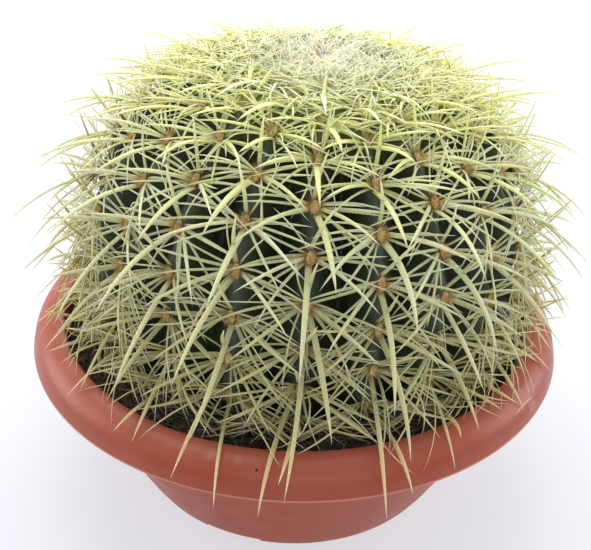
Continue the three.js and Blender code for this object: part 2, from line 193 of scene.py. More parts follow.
class StageSettings(bpy.types.PropertyGroup):
    """Camera, lights and floor"""
    elevation: an_angle("Elevation", "How far the camera looks down", 31.64)
    roll: an_angle("Roll", "Turn of the camera about its own axis", 1.67)
    distance: a_length("Distance", "From the camera to the point it looks at", 479)
    aim_height: a_length("Aim height", "Height of the point that the camera looks at", 88.6)
    focal_pixels: a_number("Focal length in pixels", "For an image 591 pixels wide", 1139)
    floor_colour: a_colour("Floor", "Colour of the pale floor", 136, 138, 144)
    floor_glow: a_number("Floor glow", "Light that the floor gives off", 0.62)
    top_light: a_number("Top light", "Power of the light above", 9, "POWER")
    fill_light: a_number("Fill light", "Power of the light in front", 1.6, "POWER")
    side_light: a_number("Side light", "Power of the light on each side", 4, "POWER")
    back_light: a_number("Back light", "Power of the light behind", 5, "POWER")
    sky: a_number("Sky", "Strength of the even light all round", 0.57)


# Modelling steps that several pieces share

def start_fresh():
    """Object mode with nothing selected."""
    if bpy.context.object and bpy.context.object.mode != "OBJECT":
        bpy.ops.object.mode_set(mode="OBJECT")
    bpy.ops.object.select_all(action="DESELECT")


def only(piece):
    start_fresh()
    piece.select_set(True)
    bpy.context.view_layer.objects.active = piece


def remove(piece):
    bpy.data.objects.remove(piece, do_unlink=True)


def newest(name):
    """The piece that was just added, under a name of its own."""
    piece = bpy.context.object
    piece.name = piece.data.name = name
    return piece


def drawn_out(name, rings, sides):
    """A closed body of revolution, drawn out from a circle. Rings are (radius, height) pairs."""
    start_fresh()
    radius, height = rings[0]
    bpy.ops.mesh.primitive_circle_add(vertices=sides, radius=radius, location=(0, 0, 0), fill_type="NGON")
    piece = newest(name)
    bpy.ops.object.mode_set(mode="EDIT")
    bpy.ops.mesh.select_all(action="SELECT")
    bpy.ops.transform.translate(value=(0, 0, height))
    bpy.ops.mesh.select_mode(type="EDGE")
    for next_radius, next_height in rings[1:]:
        bpy.ops.mesh.extrude_edges_move(TRANSFORM_OT_translate={"value": (0, 0, next_height - height)})
        grow = next_radius / radius
        bpy.ops.transform.resize(value=(grow, grow, 1), center_override=(0, 0, next_height))
        radius, height = next_radius, next_height
    bpy.ops.mesh.edge_face_add()
    bpy.ops.mesh.select_all(action="SELECT")
    bpy.ops.mesh.normals_make_consistent(inside=False)
    bpy.ops.object.mode_set(mode="OBJECT")
    return piece


def cut_by(piece, cutter):
    """Cuts the cutter's shape out of the piece and removes the cutter."""
    cut = piece.modifiers.new("Cut", "BOOLEAN")
    cut.operation, cut.solver, cut.object = "DIFFERENCE", "EXACT", cutter
    only(piece)
    bpy.ops.object.modifier_apply(modifier=cut.name)
    remove(cutter)


def points_of(piece):
    values = np.empty(len(piece.data.vertices) * 3)
    piece.data.vertices.foreach_get("co", values)
    return values.reshape(-1, 3)


def faces_of(piece):
    return [tuple(face.vertices) for face in piece.data.polygons]


def move_points(piece, points):
    piece.data.vertices.foreach_set("co", np.asarray(points, dtype=np.float64).ravel())
    piece.data.update()


def uneven_ball(name, subdivisions, unevenness, scale):
    """A small ball of radius 1 to copy, made uneven by noise."""
    start_fresh()
    bpy.ops.mesh.primitive_ico_sphere_add(subdivisions=subdivisions, radius=1, location=(0, 0, 0))
    ball = newest(name)
    points = points_of(ball)
    for point in points:
        point *= 1 + unevenness * noise.noise(Vector(point) * scale)
    move_points(ball, points)
    return ball


def note(piece, name, values):
    """Keeps one number for each point of a piece, for its material to read."""
    attribute = piece.data.attributes.new(name, "FLOAT", "POINT")
    attribute.data.foreach_set("value", np.asarray(values, dtype=np.float32))


def gathered(name, points, faces, notes):
    """One piece of many copies: points is (copies, points of one, 3), notes one number a copy or point."""
    copies, size = points.shape[:2]
    mesh = bpy.data.meshes.new(name)
    mesh.from_pydata(points.reshape(-1, 3).tolist(), [],
                     [tuple(i + copy * size for i in face) for copy in range(copies) for face in faces])
    piece = bpy.data.objects.new(name, mesh)
    bpy.context.scene.collection.objects.link(piece)
    for key, values in notes.items():
        values = np.asarray(values, dtype=float)
        note(piece, key, np.repeat(values, size) if values.ndim == 1 else values.reshape(-1))
    return piece


def placed_copies(name, master, frames, notes):
    """Copies of a master in one piece. Each frame is an origin and three scaled axes. Uses up the master."""
    origins, axes = np.array([f[0] for f in frames]), np.array([f[1:] for f in frames])
    points = origins[:, None, :] + np.einsum("pk,nkc->npc", points_of(master), axes)
    piece = gathered(name, points, faces_of(master), notes)
    remove(master)
    return piece


def finish_piece(piece, material, stands_for=None, smooth_degrees=180):
    """Shading, material, and the piece's place on the frame."""
    if not piece.data.polygons:
        raise RuntimeError(f"{piece.name} came out empty")
    piece.data.materials.clear()  # and with it the material numbers that a cut leaves on the faces
    piece.data.materials.append(material)
    only(piece)
    if smooth_degrees == 180:
        bpy.ops.object.shade_smooth()
    else:
        bpy.ops.object.shade_smooth_by_angle(angle=math.radians(smooth_degrees))
    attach(piece, "root")
    if stands_for:
        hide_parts(stands_for)


class Finish:
    """A node-based material. Its colours are laid one over another, and so are its bumps."""

    def __init__(self, name, colour, constants):
        self.material = bpy.data.materials.new(name)
        self.material.use_nodes = True
        self.tree = self.material.node_tree
        self.shader = self.tree.nodes["Principled BSDF"]
        for socket, value in constants.items():
            self.shader.inputs[socket].default_value = value
        self.colour, self.normal = colour, None
        self.place = self.add("TexCoord").outputs["Object"]

    def feed(self, socket, value):
        """Gives a socket a value, or links it to the socket that the value comes from."""
        if isinstance(value, bpy.types.NodeSocket):
            self.tree.links.new(value, socket)
        else:
            socket.default_value = value

    def add(self, kind, inputs=None, **settings):
        made = self.tree.nodes.new("ShaderNode" + kind)
        for key, value in settings.items():
            setattr(made, key, value)
        for key, value in (inputs or {}).items():
            self.feed(made.inputs[key], value)
        return made

    def noted(self, name):
        return self.add("Attribute", attribute_name=name).outputs["Fac"]

    def stretched(self, scale):
        return self.add("Mapping", {"Vector": self.place, "Scale": scale}).outputs["Vector"]

    def along(self, axis):
        return self.add("SeparateXYZ", {"Vector": self.place}).outputs[axis]

    def grain(self, scale, detail, roughness=0.55, stretch=None):
        """Noise over the piece, from 0 to 1."""
        place = self.stretched(stretch) if stretch else self.place
        return self.add("TexNoise", {"Vector": place, "Scale": scale, "Detail": detail,
                                     "Roughness": roughness}).outputs["Fac"]

    def ranged(self, value, low, high, to_low=0.0, to_high=1.0):
        """A value brought from one range to another and kept within it."""
        return self.add("MapRange", {"Value": value, "From Min": low, "From Max": high,
                                     "To Min": to_low, "To Max": to_high}).outputs["Result"]

    def worked(self, operation, first, second=0):
        return self.add("Math", {0: first, 1: second}, operation=operation).outputs[0]

    def times(self, first, second):
        return self.worked("MULTIPLY", first, second)

    def mixed(self, share, first, second):
        """A colour between two colours."""
        made = self.add("Mix", data_type="RGBA")
        self.feed(made.inputs[0], share)
        for index, colour in ((6, first), (7, second)):
            self.feed(made.inputs[index],
                      colour if isinstance(colour, bpy.types.NodeSocket) else (*colour, 1))
        return made.outputs[2]

    def layer(self, share, colour):
        """Lays a colour over the present one, as far as the share says."""
        self.colour = self.mixed(share, self.colour, colour)
        self.tree.links.new(self.colour, self.shader.inputs["Base Color"])

    def bump(self, height, millimetres, strength):
        inputs = {"Height": height, "Distance": mm(millimetres), "Strength": strength}
        if self.normal:
            inputs["Normal"] = self.normal
        self.normal = self.add("Bump", inputs).outputs["Normal"]
        self.tree.links.new(self.normal, self.shader.inputs["Normal"])


# The bowl's and the plant's shapes, as formulas

SPINE_CLEARANCE = mm(2.2)


class BowlShape:
    """The bowl's outline, worked out from the settings, and how far spines stay above it."""

    def __init__(self, context):
        bowl = context.scene.cactus_bowl
        self.foot, self.mouth, self.drop = bowl.foot_radius, bowl.mouth_radius, bowl.band_drop
        self.wall, self.floor, self.slope = bowl.wall, bowl.floor, bowl.wall_slope
        self.band_foot = BOWL_TOP - bowl.band_drop - bowl.lip

    def outside(self, height):
        return self.foot + self.slope * height

    def inside(self, height):
        """A cone, then a steeper collar behind the band up to the mouth."""
        collar_foot, collar_top = self.band_foot - mm(4), BOWL_TOP - mm(1.6)
        cone = self.outside(min(height, collar_foot)) - self.wall
        share = max(0, height - collar_foot) / (collar_top - collar_foot)
        return cone + share * (self.mouth - mm(1.2) - cone)

    def band(self, degrees, inset=0):
        """A point of the band's rounded shoulder, from its widest place at 0 to the mouth at 90."""
        angle = math.radians(degrees)
        return (self.mouth + (RIM_RADIUS - self.mouth - inset) * math.cos(angle),
                BOWL_TOP - self.drop + (self.drop - inset) * math.sin(angle))

    def rings(self):
        """The outline from the middle of the foot up the outside, round the rim and down the inside."""
        foot, mouth, rim, low = self.foot, self.mouth, RIM_RADIUS, self.band_foot
        wall_top = low - mm(5)
        lip_inside = rim - self.wall
        inner_heights = (BOWL_TOP - mm(1.6), BOWL_TOP - mm(5), BOWL_TOP - mm(9), low - mm(4), low - mm(20),
                         mm(25), self.floor + mm(3))
        return [
            (mm(1), 0), (foot * 0.5, 0), (foot - mm(1), 0), (foot - mm(0.4), mm(0.2)), (foot, mm(0.8)),
            *((self.outside(wall_top * share), wall_top * share)
              for share in (0.1, 0.25, 0.4, 0.55, 0.7, 0.85, 1)),
            (mouth + mm(1.4), low + mm(3)),
            *(self.band(angle, self.wall) for angle in (75, 60, 45, 35, 20)),
            (lip_inside, low + mm(0.3)), (lip_inside + mm(0.3), low), (rim - mm(0.1), low),
            (rim + mm(0.3), low + mm(0.25)), (rim + mm(0.35), low + mm(0.6)), (rim + mm(0.1), low + mm(0.95)),
            *(self.band(angle) for angle in range(0, 91, 6)),
            (mouth - mm(0.5), BOWL_TOP - mm(0.15)), (mouth - mm(0.9), BOWL_TOP - mm(0.6)),
            *((self.inside(height), height) for height in inner_heights),
            (self.inside(self.floor) - mm(3), self.floor), (mm(1), self.floor)]

    def ground(self, distance):
        """The lowest height that a spine's middle line may have at a distance from the bowl's axis."""
        if distance < self.mouth - mm(4):
            return SOIL_HIGH.z + mm(0.8) + SPINE_CLEARANCE
        if distance < self.mouth:
            return BOWL_TOP + SPINE_CLEARANCE
        if distance < RIM_RADIUS + SPINE_CLEARANCE:
            across = min(1, (distance - self.mouth) / (RIM_RADIUS - self.mouth))
            return BOWL_TOP - self.drop + self.drop * math.sqrt(1 - across * across) + SPINE_CLEARANCE
        return 0


FIRST_AREOLE = mm(31)  # from the stem's top, along a crest
FULL_AGE = mm(110)  # along a crest, from the first areole to where everything is grown
LAST_ROW = 16  # half gaps from the first areole to the lowest
LOWEST_AREOLE = mm(4.9)  # above the soil
RIB_PHASE = -0.009  # radians, of the front rib
RIB_TWIST = -0.2  # radians for each metre up
CROWN_RADIUS = mm(28.4)
CROWN_SEAT = mm(70.8)  # from the stem's middle
CROWN_TOP = mm(76.4)
STEM_SHIFT = (mm(3.5), mm(1.7))
STEM_ABOVE_RIM = mm(31.7)  # from the rim's top edge to the stem's middle
RIBS_START, RIBS_END = mm(30.5), mm(176)  # lengths along the outline
# Radius, height and length along the outline, in mm, of the dish under the wool
DISH = ((0.01, 70.8, 0), (14, 70.8, 14), (27.5, 70.9, 27.5), (29.3, 72.6, 29.5))
# Radius and height in mm
UNDERSIDE = ((62, -55), (20, -59), (17, -64), (12, -74), (0.01, -74))


def travelled(radii, heights):
    """How far each point of an outline lies along it."""
    return np.concatenate([[0], np.cumsum(np.hypot(np.diff(radii), np.diff(heights)))])


class Stem:
    """The stem's outline, ribs and areoles, worked out from the settings."""

    def __init__(self, context):
        plant = context.scene.cactus_plant
        self.ribs, self.gap, self.groove, self.swell = plant.ribs, plant.areole_gap, plant.groove, plant.swell
        angle = np.linspace(math.pi / 2, -math.pi / 2, 901)
        self.radius = plant.radius * np.maximum(np.cos(angle), 0) ** plant.squareness
        self.height = plant.half_height * np.sign(np.sin(angle)) * np.abs(np.sin(angle)) ** plant.squareness
        self.length = travelled(self.radius, self.height)
        self.place = (Matrix.Translation((*STEM_SHIFT, BOWL_TOP + STEM_ABOVE_RIM))
                      @ Matrix.Rotation(plant.lean_right, 4, "Y") @ Matrix.Rotation(-plant.lean_back, 4, "X"))
        self.turn = self.place.to_3x3()

    def placed(self, points):
        """Points of the upright stem about its middle, brought to where it stands and leans."""
        return points @ np.array(self.turn).T + np.array(self.place.translation)

    def point(self, length):
        """Radius and height at a length from the top along the outline."""
        return np.interp(length, self.length, self.radius), np.interp(length, self.length, self.height)

    def areole(self, k, number, row):
        """An areole's place on a crest, with the ways out of, down and across the skin there."""
        length = FIRST_AREOLE + row * self.gap / 2
        radius, height = self.point(length)
        (r0, h0), (r1, h1) = self.point(length - mm(0.4)), self.point(length + mm(0.4))
        span = math.hypot(r1 - r0, h1 - h0)
        down_r, down_h = (r1 - r0) / span, (h1 - h0) / span
        angle = RIB_PHASE + FULL_TURN * number / self.ribs + RIB_TWIST * height
        sin, cos = math.sin(angle), math.cos(angle)
        out = self.turn @ Vector((-down_h * sin, down_h * cos, down_r))
        return {
            "rib": k, "row": row, "length": length, "out": out, "face": out,
            "place": self.place @ Vector((radius * sin, -radius * cos, height)),
            "down": self.turn @ Vector((down_r * sin, -down_r * cos, down_h)),
            "across": self.turn @ Vector((cos, sin, 0)),
            "away": self.turn @ Vector((sin, -cos, 0)),
        }

    def areoles(self):
        """Every areole above the soil. Neighbouring ribs are half a gap out of step."""
        for k in range(self.ribs):
            number = k - self.ribs if k > self.ribs / 2 else k
            for row in range(number % 2, LAST_ROW + 1, 2):
                at = self.areole(k, number, row)
                if at["place"].z > SOIL_HIGH.z + LOWEST_AREOLE:
                    yield at


# Spines

# Length and width in mm, flatness, lean from the normal, turn from the downward way, hook and range of
# sway in degrees, the root's place down and across in mm, the share of twins that grow on the other side
# (0 is a kind without a twin), and the piece, or None for left_spines or right_spines by the turn.
Kind = namedtuple("Kind", "length width flatness lean turn hook sway root_down root_across twins piece")
KINDS = {
    "lower": Kind(45, 2.7, 0.4, 30, 0, 48, 56, 1.4, 0.4, 0, "central_spines"),
    "upper": Kind(28, 1.8, 0.5, 42, 176, 14, 56, -1.7, -0.4, 0, "central_spines"),
    "left": Kind(31, 1.3, 0.6, 66, -98, 18, 26, -0.5, -0.8, 0, None),
    "right": Kind(31, 1.3, 0.6, 66, 98, 18, 26, 0.4, 0.8, 0, None),
    "slant": Kind(33, 1.3, 0.6, 60, 46, 20, 56, 0.9, 0.8, 0, None),
    "flank": Kind(33, 1.75, 0.5, 46, 76, 30, 26, 0.1, 0.6, 1, "central_spines"),
    "rung": Kind(30, 1.25, 0.6, 68, 86, 24, 26, 0.2, 0.9, 1, None),
    "brace": Kind(29, 1.1, 0.6, 70, 68, 24, 56, 0.9, 0.8, 1, None),
    "strut": Kind(25, 0.9, 0.6, 70, 34, 22, 56, 1.5, 0.5, 0.42, "fine_spines"),
    "wing": Kind(27, 1.0, 0.6, 64, 110, 20, 56, -0.9, 0.8, 1, "fine_spines"),
    "crest": Kind(24, 0.8, 0.6, 54, 152, 16, 56, -1.7, 0.4, 0.75, "fine_spines"),
}
# A thin spine takes only its hook and its root's place from a kind.
YOUNG_KIND = KINDS["crest"]._replace(hook=22, root_down=0, root_across=0)
THIN_FLATNESS = 0.6
ROOT_DEPTH = mm(2.4)
TRIES, STRIDES = 30, 8  # to find room for a spine, and the places along it that are looked at
TOP_LIMIT = CAD_BOX[1][2]  # of a spine at the stem's axis
OUT_LIMIT = mm(112)  # of a spine's tip from the bowl's axis, before widest() changes it
# Lengths down a crest: past YOUNG the spines are grown, past OLD the lower ones grow straighter, and past
# LOWEST shorter. The crown's fringe ends at FRINGE, and WISPS and TANGLE have extra thin spines.
YOUNG_LENGTH, OLD_LENGTH, LOWEST_LENGTH = mm(58), mm(95), mm(136)
FRINGE_LENGTH, FRINGE_SPINES = mm(55), 24
WISPS_START, WISPS_END, TANGLE_START = mm(50), mm(112), mm(108)


def scatter(i, k):
    """An even scatter between -0.5 and 0.5: the same for the same pair of whole numbers."""
    value = 0.7548776662 * i + 0.569840291 * k + 0.31
    return value - math.floor(value) - 0.5


def spine_master(sides=6, steps=8):
    """A straight spine of unit width and length along Z, which tapers to a needle tip."""
    shares = [i / steps for i in range(steps)]
    rings = [(0.5 * (1.05 - 0.25 * share) * (1 - share ** 4.6), share) for share in shares]
    return drawn_out("spine_master", [*rings, (0.006, 1)], sides)


def back_right(way):
    """1 towards the back right of the plant, less beside it and at most 0 on the other side."""
    return max(0, (way.x + 0.6 * way.y) / 1.17)


def leaned(at, lean, turn):
    """A way that leans from the surface's normal, turned from the downward way, in degrees."""
    lean, turn = math.radians(lean), math.radians(turn)
    return (at["out"] * math.cos(lean) + at["down"] * math.sin(lean) * math.cos(turn)
            + at["across"] * math.sin(lean) * math.sin(turn))


def ceiling(point):
    """How high a spine's tip may lie: lower further from the stem's axis, and lowest at the back."""
    x, y = point.x - STEM_SHIFT[0], point.y - STEM_SHIFT[1]
    slope = 0.3 if y > 0 else max(0.12, 0.3 + y / mm(60) * 0.18)
    return TOP_LIMIT - (slope - 0.09 * abs(x) / math.hypot(x, y, mm(1))) * math.hypot(x, y)


def widest(point):
    """How far from the bowl's axis a spine's tip may lie.

    It may lie further out in front, at the back right and higher up, and less far beside the front.
    """
    distance = math.hypot(point.x, point.y)
    front = max(0, -point.y / distance - 0.8) * 5
    beside = max(0, 1 - abs(-point.y / distance - 0.42) / 0.4)
    higher = min(mm(25), max(0, point.z - mm(90)))
    return (mm(9) * back_right(point / distance) ** 2 - mm(5) * beside + OUT_LIMIT
            + max(mm(13) * front, 0.3 * higher))


class Growth:
    """Grows spines that keep clear of the bowl and the soil, and near the CAD model's box."""

    def __init__(self, context, draw):
        self.bowl, self.draw = BowlShape(context), draw

    def line(self, at, kind, reach, lean, turn, sway, droop):
        """Start, end directions and reach of one spine, bent until it has room, or else None.

        A spine that sways more stays lower, and one that sways left stays upright and short under the
        ceiling, so the crown's outline is ragged.
        """
        lower, stiff = mm(0.3) * abs(sway), 0.3 if sway > 0 else 0.66
        first = leaned(at, lean, turn)
        second = (leaned(at, lean + kind.hook, turn + sway) - UP * droop).normalized()
        side = -abs(kind.root_across) if turn < 0 else kind.root_across
        start = at["place"] + at["down"] * mm(kind.root_down) + at["across"] * mm(side)
        for _ in range(TRIES):
            point, lift = start.copy(), 0
            for i in range(STRIDES):
                share = (i + 0.5) / STRIDES
                point += (first * (1 - share) + second * share).normalized() * reach / STRIDES
                if point.z < self.bowl.ground(math.hypot(point.x, point.y)):
                    lift = 1
                    break
            too_high = point.z > ceiling(point) - lower
            if not lift and too_high and first.dot(at["out"]) > stiff:
                lift = -1
            if lift:
                first = (first + UP * 0.1 * lift).normalized()
                second = (second + UP * 0.14 * lift).normalized()
            elif too_high or math.hypot(point.x, point.y) > widest(point):
                reach *= 0.95
            else:
                depth = ROOT_DEPTH * max(0.15, first.dot(at["out"]) ** 2)
                return start - at["out"] * depth, first, second, reach + depth

    def thin(self, lines, at, kind, widths, reach, lean, turn, sway, droop=0):
        """Adds a thin spine, its reach and range of widths in mm, unless it finds no room."""
        line = self.line(at, kind, mm(reach), lean, turn, sway, droop)
        if line:
            lines.append((*line, mm(self.draw.uniform(*widths)), THIN_FLATNESS, at["face"], at["length"],
                          self.draw.random()))

    def kinds(self, lines, at, fullness):
        """Adds one areole's spine of each kind, with its twin."""
        draw = self.draw
        down = at["length"] - FIRST_AREOLE
        youth = at["length"] < YOUNG_LENGTH
        share, fine_share = min(1, 0.38 + down / mm(130)), min(1, 0.66 + down / mm(170))
        age = min(1, max(0, (at["length"] - OLD_LENGTH) / mm(35)))
        mirror = 1 if (at["row"] // 2 + at["rib"]) % 2 else -1
        for i, (name, kind) in enumerate(KINDS.items()):
            for side in ((1, -1) if kind.twins else (1,)):
                if kind.twins and draw.random() > fullness * kind.twins:
                    continue
                if kind.twins:
                    jitter = [draw.random() - 0.5 for _ in range(3)]
                else:
                    jitter = [scatter(at["rib"] * 40 + at["row"], 3 * i + j) for j in range(3)]
                grown = fine_share if kind.twins or youth else share
                reach = mm(kind.length) * grown * (1 + 0.2 * jitter[1])
                lean, hook = kind.lean + 14 * jitter[0], kind.hook
                turn = kind.turn * side * (mirror if name == "slant" else 1) + 20 * jitter[2]
                if name == "lower" and not youth:
                    hook -= 30 * age
                    lean += 6 * age
                    reach *= 0.8 if at["length"] > LOWEST_LENGTH and at["away"].y > -0.85 else 1.05
                if youth:
                    hook *= 0.5
                reach *= 1 + 0.12 * back_right(at["away"]) ** 4
                sway = kind.sway * (draw.random() - 0.5)
                if name == "lower":
                    turn *= 2.6
                    sway = 0.4 * sway - 0.85 * turn
                elif name == "flank":
                    sway -= 24 * side
                droop = 0 if kind.piece == "central_spines" else draw.uniform(0.05, 0.5 + 0.4 * age)
                line = self.line(at, kind._replace(hook=hook), reach, lean, turn, sway, droop)
                if line:
                    slim = 0.72 + 0.28 * share - (0.2 * age if name == "lower" else 0)
                    piece = kind.piece or ("left_spines" if turn < 0 else "right_spines")
                    lines[piece].append((*line, mm(kind.width) * slim * (1 + 0.16 * jitter[0]),
                                         kind.flatness, at["face"], at["length"], draw.random()))


def spine_lines(context):
    """Every spine of the stem, by piece, as bent_spines reads them."""
    spines = context.scene.cactus_spines
    draw = random.Random(5)
    growth = Growth(context, draw)
    lines = {name: [] for name in ("central_spines", "left_spines", "right_spines", "fine_spines")}
    fine = lines["fine_spines"]
    for at in Stem(context).areoles():
        growth.kinds(lines, at, spines.fullness)
        for _ in range(round(FRINGE_SPINES * (1 - (at["length"] - FIRST_AREOLE) / FRINGE_LENGTH))):
            lean, turn = draw.uniform(30, 76), draw.uniform(-180, 180)
            growth.thin(fine, at, KINDS["wing"], (0.75, 1.15), draw.uniform(15, 28), lean, turn,
                        draw.uniform(-25, 25))
        if WISPS_START < at["length"] < WISPS_END and at["away"].y > -0.6:
            for _ in range(spines.side_wisps):
                growth.thin(fine, at, KINDS["crest"], (0.5, 0.75), draw.uniform(22, 33),
                            draw.uniform(34, 66), draw.choice((-1, 1)) * draw.uniform(110, 178),
                            draw.uniform(-40, 40))
        if at["length"] > TANGLE_START:
            for _ in range(spines.low_tangle):
                turn = draw.choice((-1, 1)) * draw.uniform(0, 120)
                growth.thin(fine, at, KINDS["wing"], (0.6, 1), draw.uniform(18, 38), draw.uniform(34, 72),
                            turn, draw.uniform(-40, 40), draw.uniform(0.2, 1.3))
    return lines


def bent_spines(name, master, lines):
    """Copies of the master spine, each bent along its own line. Uses up the master.

    A line is the root, the ways at the root and the tip, reach, width, flatness, the way that the broad
    side faces, the length along the crest and a tint.
    """
    root, first, second, reach, width, flatness, face, length, tint = map(np.array, zip(*lines))
    shape = points_of(master)
    steps = len(np.unique(shape[:, 2].round(3))) - 1
    ring_of = np.rint(shape[:, 2] * steps).astype(int)
    share = np.linspace(0, 1, steps + 1)[None, :, None]
    way = first[:, None] * (1 - share) + second[:, None] * share
    way /= np.linalg.norm(way, axis=2, keepdims=True)
    strides = (way[:, 1:] + way[:, :-1]) / 2 * (reach / steps)[:, None, None]
    centre = root[:, None] + np.concatenate([np.zeros_like(strides[:, :1]), np.cumsum(strides, 1)], 1)
    side = np.cross(way, face[:, None])
    side /= np.linalg.norm(side, axis=2, keepdims=True)
    lift = np.cross(side, way)
    across = shape[None, :, 0, None] * width[:, None, None]
    thick = shape[None, :, 1, None] * (width * flatness)[:, None, None]
    points = centre[:, ring_of] + side[:, ring_of] * across + lift[:, ring_of] * thick
    notes = {"along": np.broadcast_to(shape[:, 2], points.shape[:2]), "reach": reach,
             "age": np.clip((length - FIRST_AREOLE) / FULL_AGE, -1, 1), "tint": tint}
    piece = gathered(name, points, faces_of(master), notes)
    remove(master)
    return piece


def spine_material(context):
    """Straw-yellow horn, limier when young and cream in the crown, both partly painted top light, with a
    brown root, cross bands, and warm tips that at the front rim are painted warm light from the bowl.
    """
    colours = context.scene.cactus_spines
    horn = Finish("spine_horn", colours.cream_colour, {
        "Roughness": 0.42, "Subsurface Weight": 0.75, "Subsurface Radius": (1.0, 0.85, 0.5),
        "Subsurface Scale": mm(2.5)})
    along, age, tint = (horn.noted(name) for name in ("along", "age", "tint"))
    # limier young spines over the cream crown spines, both lighter partly as painted top light
    horn.layer(horn.ranged(age, -0.12, 0.1), colours.lime_colour)
    horn.layer(horn.ranged(age, 0.15, 0.6), colours.straw_colour)
    horn.layer(horn.ranged(age, 0.55, 1, 0, 0.9), srgb(154, 153, 90))  # duller low on the stem
    horn.layer(horn.ranged(tint, 0, 1, 0, 0.35), srgb(238, 236, 196))  # each spine a little different
    from_axis = horn.add("VectorMath", {0: horn.stretched((1, 1, 0))}, operation="LENGTH").outputs["Value"]
    # painted warm light from the bowl: tips of low spines over its front rim turn warm, elsewhere only a
    # faint horny tip
    low_front = horn.times(horn.ranged(horn.along("Z"), BOWL_TOP + mm(4), BOWL_TOP + mm(18), 1, 0),
                           horn.ranged(horn.along("Y"), mm(-20), mm(15), 1, 0))
    bowl_light_over_rim = horn.times(horn.ranged(from_axis, mm(95), mm(103)), low_front)
    horn.layer(horn.times(horn.ranged(along, 0.3, 0.7, 0, 0.9), horn.worked("MAXIMUM", bowl_light_over_rim, 0.12)),
               colours.tip_colour)
    lengths = horn.times(along, horn.noted("reach"))
    rooted = horn.worked("ADD", lengths, horn.ranged(horn.grain(420, 2), 0.3, 0.7, mm(-1), mm(1)))
    grown_root = horn.mixed(horn.ranged(age, 0.12, 0.42), srgb(206, 198, 96), colours.root_colour)
    horn.layer(horn.times(horn.ranged(rooted, mm(1.6), mm(5.4), 0.9, 0), horn.ranged(age, -0.12, 0.12)),
               horn.mixed(horn.ranged(age, 0.72, 1, 0, 0.75), grown_root, srgb(202, 186, 112)))
    bands = horn.add("TexWave", {
        "Vector": horn.add("CombineXYZ", {"X": lengths}).outputs[0], "Scale": 260, "Distortion": 0.6,
        "Detail": 1}, wave_type="BANDS", bands_direction="X").outputs["Fac"]
    horn.layer(horn.ranged(bands, 0, 1, 0, 0.16), srgb(168, 158, 96))
    horn.bump(bands, 0.12, 0.7)
    return horn.material


class CACTUS_OT_spines(bpy.types.Operator):
    """Grow the spines on every areole of the stem"""
    bl_idname = "cactus.spines"
    bl_label = "Spines"
    bl_options = {"REGISTER", "UNDO"}

    def execute(self, context):
        material = spine_material(context)
        for name, lines in spine_lines(context).items():
            master = spine_master(5, 7) if name == "fine_spines" else spine_master()
            finish_piece(bent_spines(name, master, lines), material, "cactus")
        return {"FINISHED"}


# Stem

STEM_COLUMNS = 18  # points from one crest to the next
STEM_ROWS = 160
SHARPNESS = 0.09  # 0 is a sharp crest, more is rounder


def stem_outline(stem):
    """The whole outline: the dish under the wool, the ribbed sides, the underside and the root neck."""
    ribbed = np.arange(RIBS_START, RIBS_END, mm(1))
    top, under = np.array(DISH) / 1000, np.array(UNDERSIDE) / 1000
    points = np.concatenate([top[:, :2], np.stack(stem.point(ribbed), 1), under])
    lengths = np.concatenate([top[:, 2], ribbed, RIBS_END + np.linspace(mm(14), mm(60), len(under))])
    return travelled(*points.T), *points.T, lengths


def ribbed_points(stem, ball):
    """Where a round ball's points go on the ribbed stem, with the notes that its material reads."""
    far, *outline = stem_outline(stem)
    way = np.arccos(np.clip(ball[:, 2], -1, 1)) / math.pi * far[-1]
    turn = np.arctan2(ball[:, 0], -ball[:, 1])
    radius, height, length = (np.interp(way, far, values) for values in outline)
    step = mm(0.5)
    dr, dh = (np.interp(way + step, far, values) - np.interp(way - step, far, values)
              for values in outline[:2])
    span = np.hypot(dr, dh)

    rib = turn / FULL_TURN * stem.ribs
    nearest = np.rint(rib)
    offset = (rib - nearest) * 2
    wave = np.cos(FULL_TURN * ((length - FIRST_AREOLE) / stem.gap
                               + np.where(nearest.astype(int) % 2 == 0, 0, 0.5)))
    sharp = ((np.sqrt(offset ** 2 + SHARPNESS ** 2) - SHARPNESS)
             / (math.sqrt(1 + SHARPNESS ** 2) - SHARPNESS))
    ends = np.clip((length - mm(28.5)) / mm(5), 0, 1) * np.clip((RIBS_END + mm(20) - length) / mm(20), 0, 1)
    fade = np.clip((length - FIRST_AREOLE + mm(4)) / mm(24), 0.25, 1)
    depth = np.minimum(stem.groove, fade * math.pi * radius / stem.ribs) * ends
    crest = np.clip(1 - np.abs(offset), 0, 1)
    bulge = stem.swell * wave * (0.25 + 0.75 * crest ** 1.6) * np.clip(length / mm(60), 0, 1) * ends
    facet = 0.06 * wave * np.sin(math.pi * np.abs(offset))
    shift = bulge - depth * np.clip(sharp - facet, 0, 1)
    radius = radius - dh / span * shift
    height = height + dr / span * shift
    angle = RIB_PHASE + turn + RIB_TWIST * height
    around = np.stack([np.sin(angle), -np.cos(angle), np.zeros_like(angle)], 1)
    points = radius[:, None] * around
    points[:, 2] = height
    uneven = np.array([noise.noise(Vector(point) * 60) for point in points]) * mm(0.5)
    notes = {"crest": crest * ends, "areole": np.clip((wave + 1) / 2, 0, 1) * crest,
             "young": np.clip(1 - (length - mm(32)) / mm(30), 0, 0.75)}
    return points + uneven[:, None] * around, notes


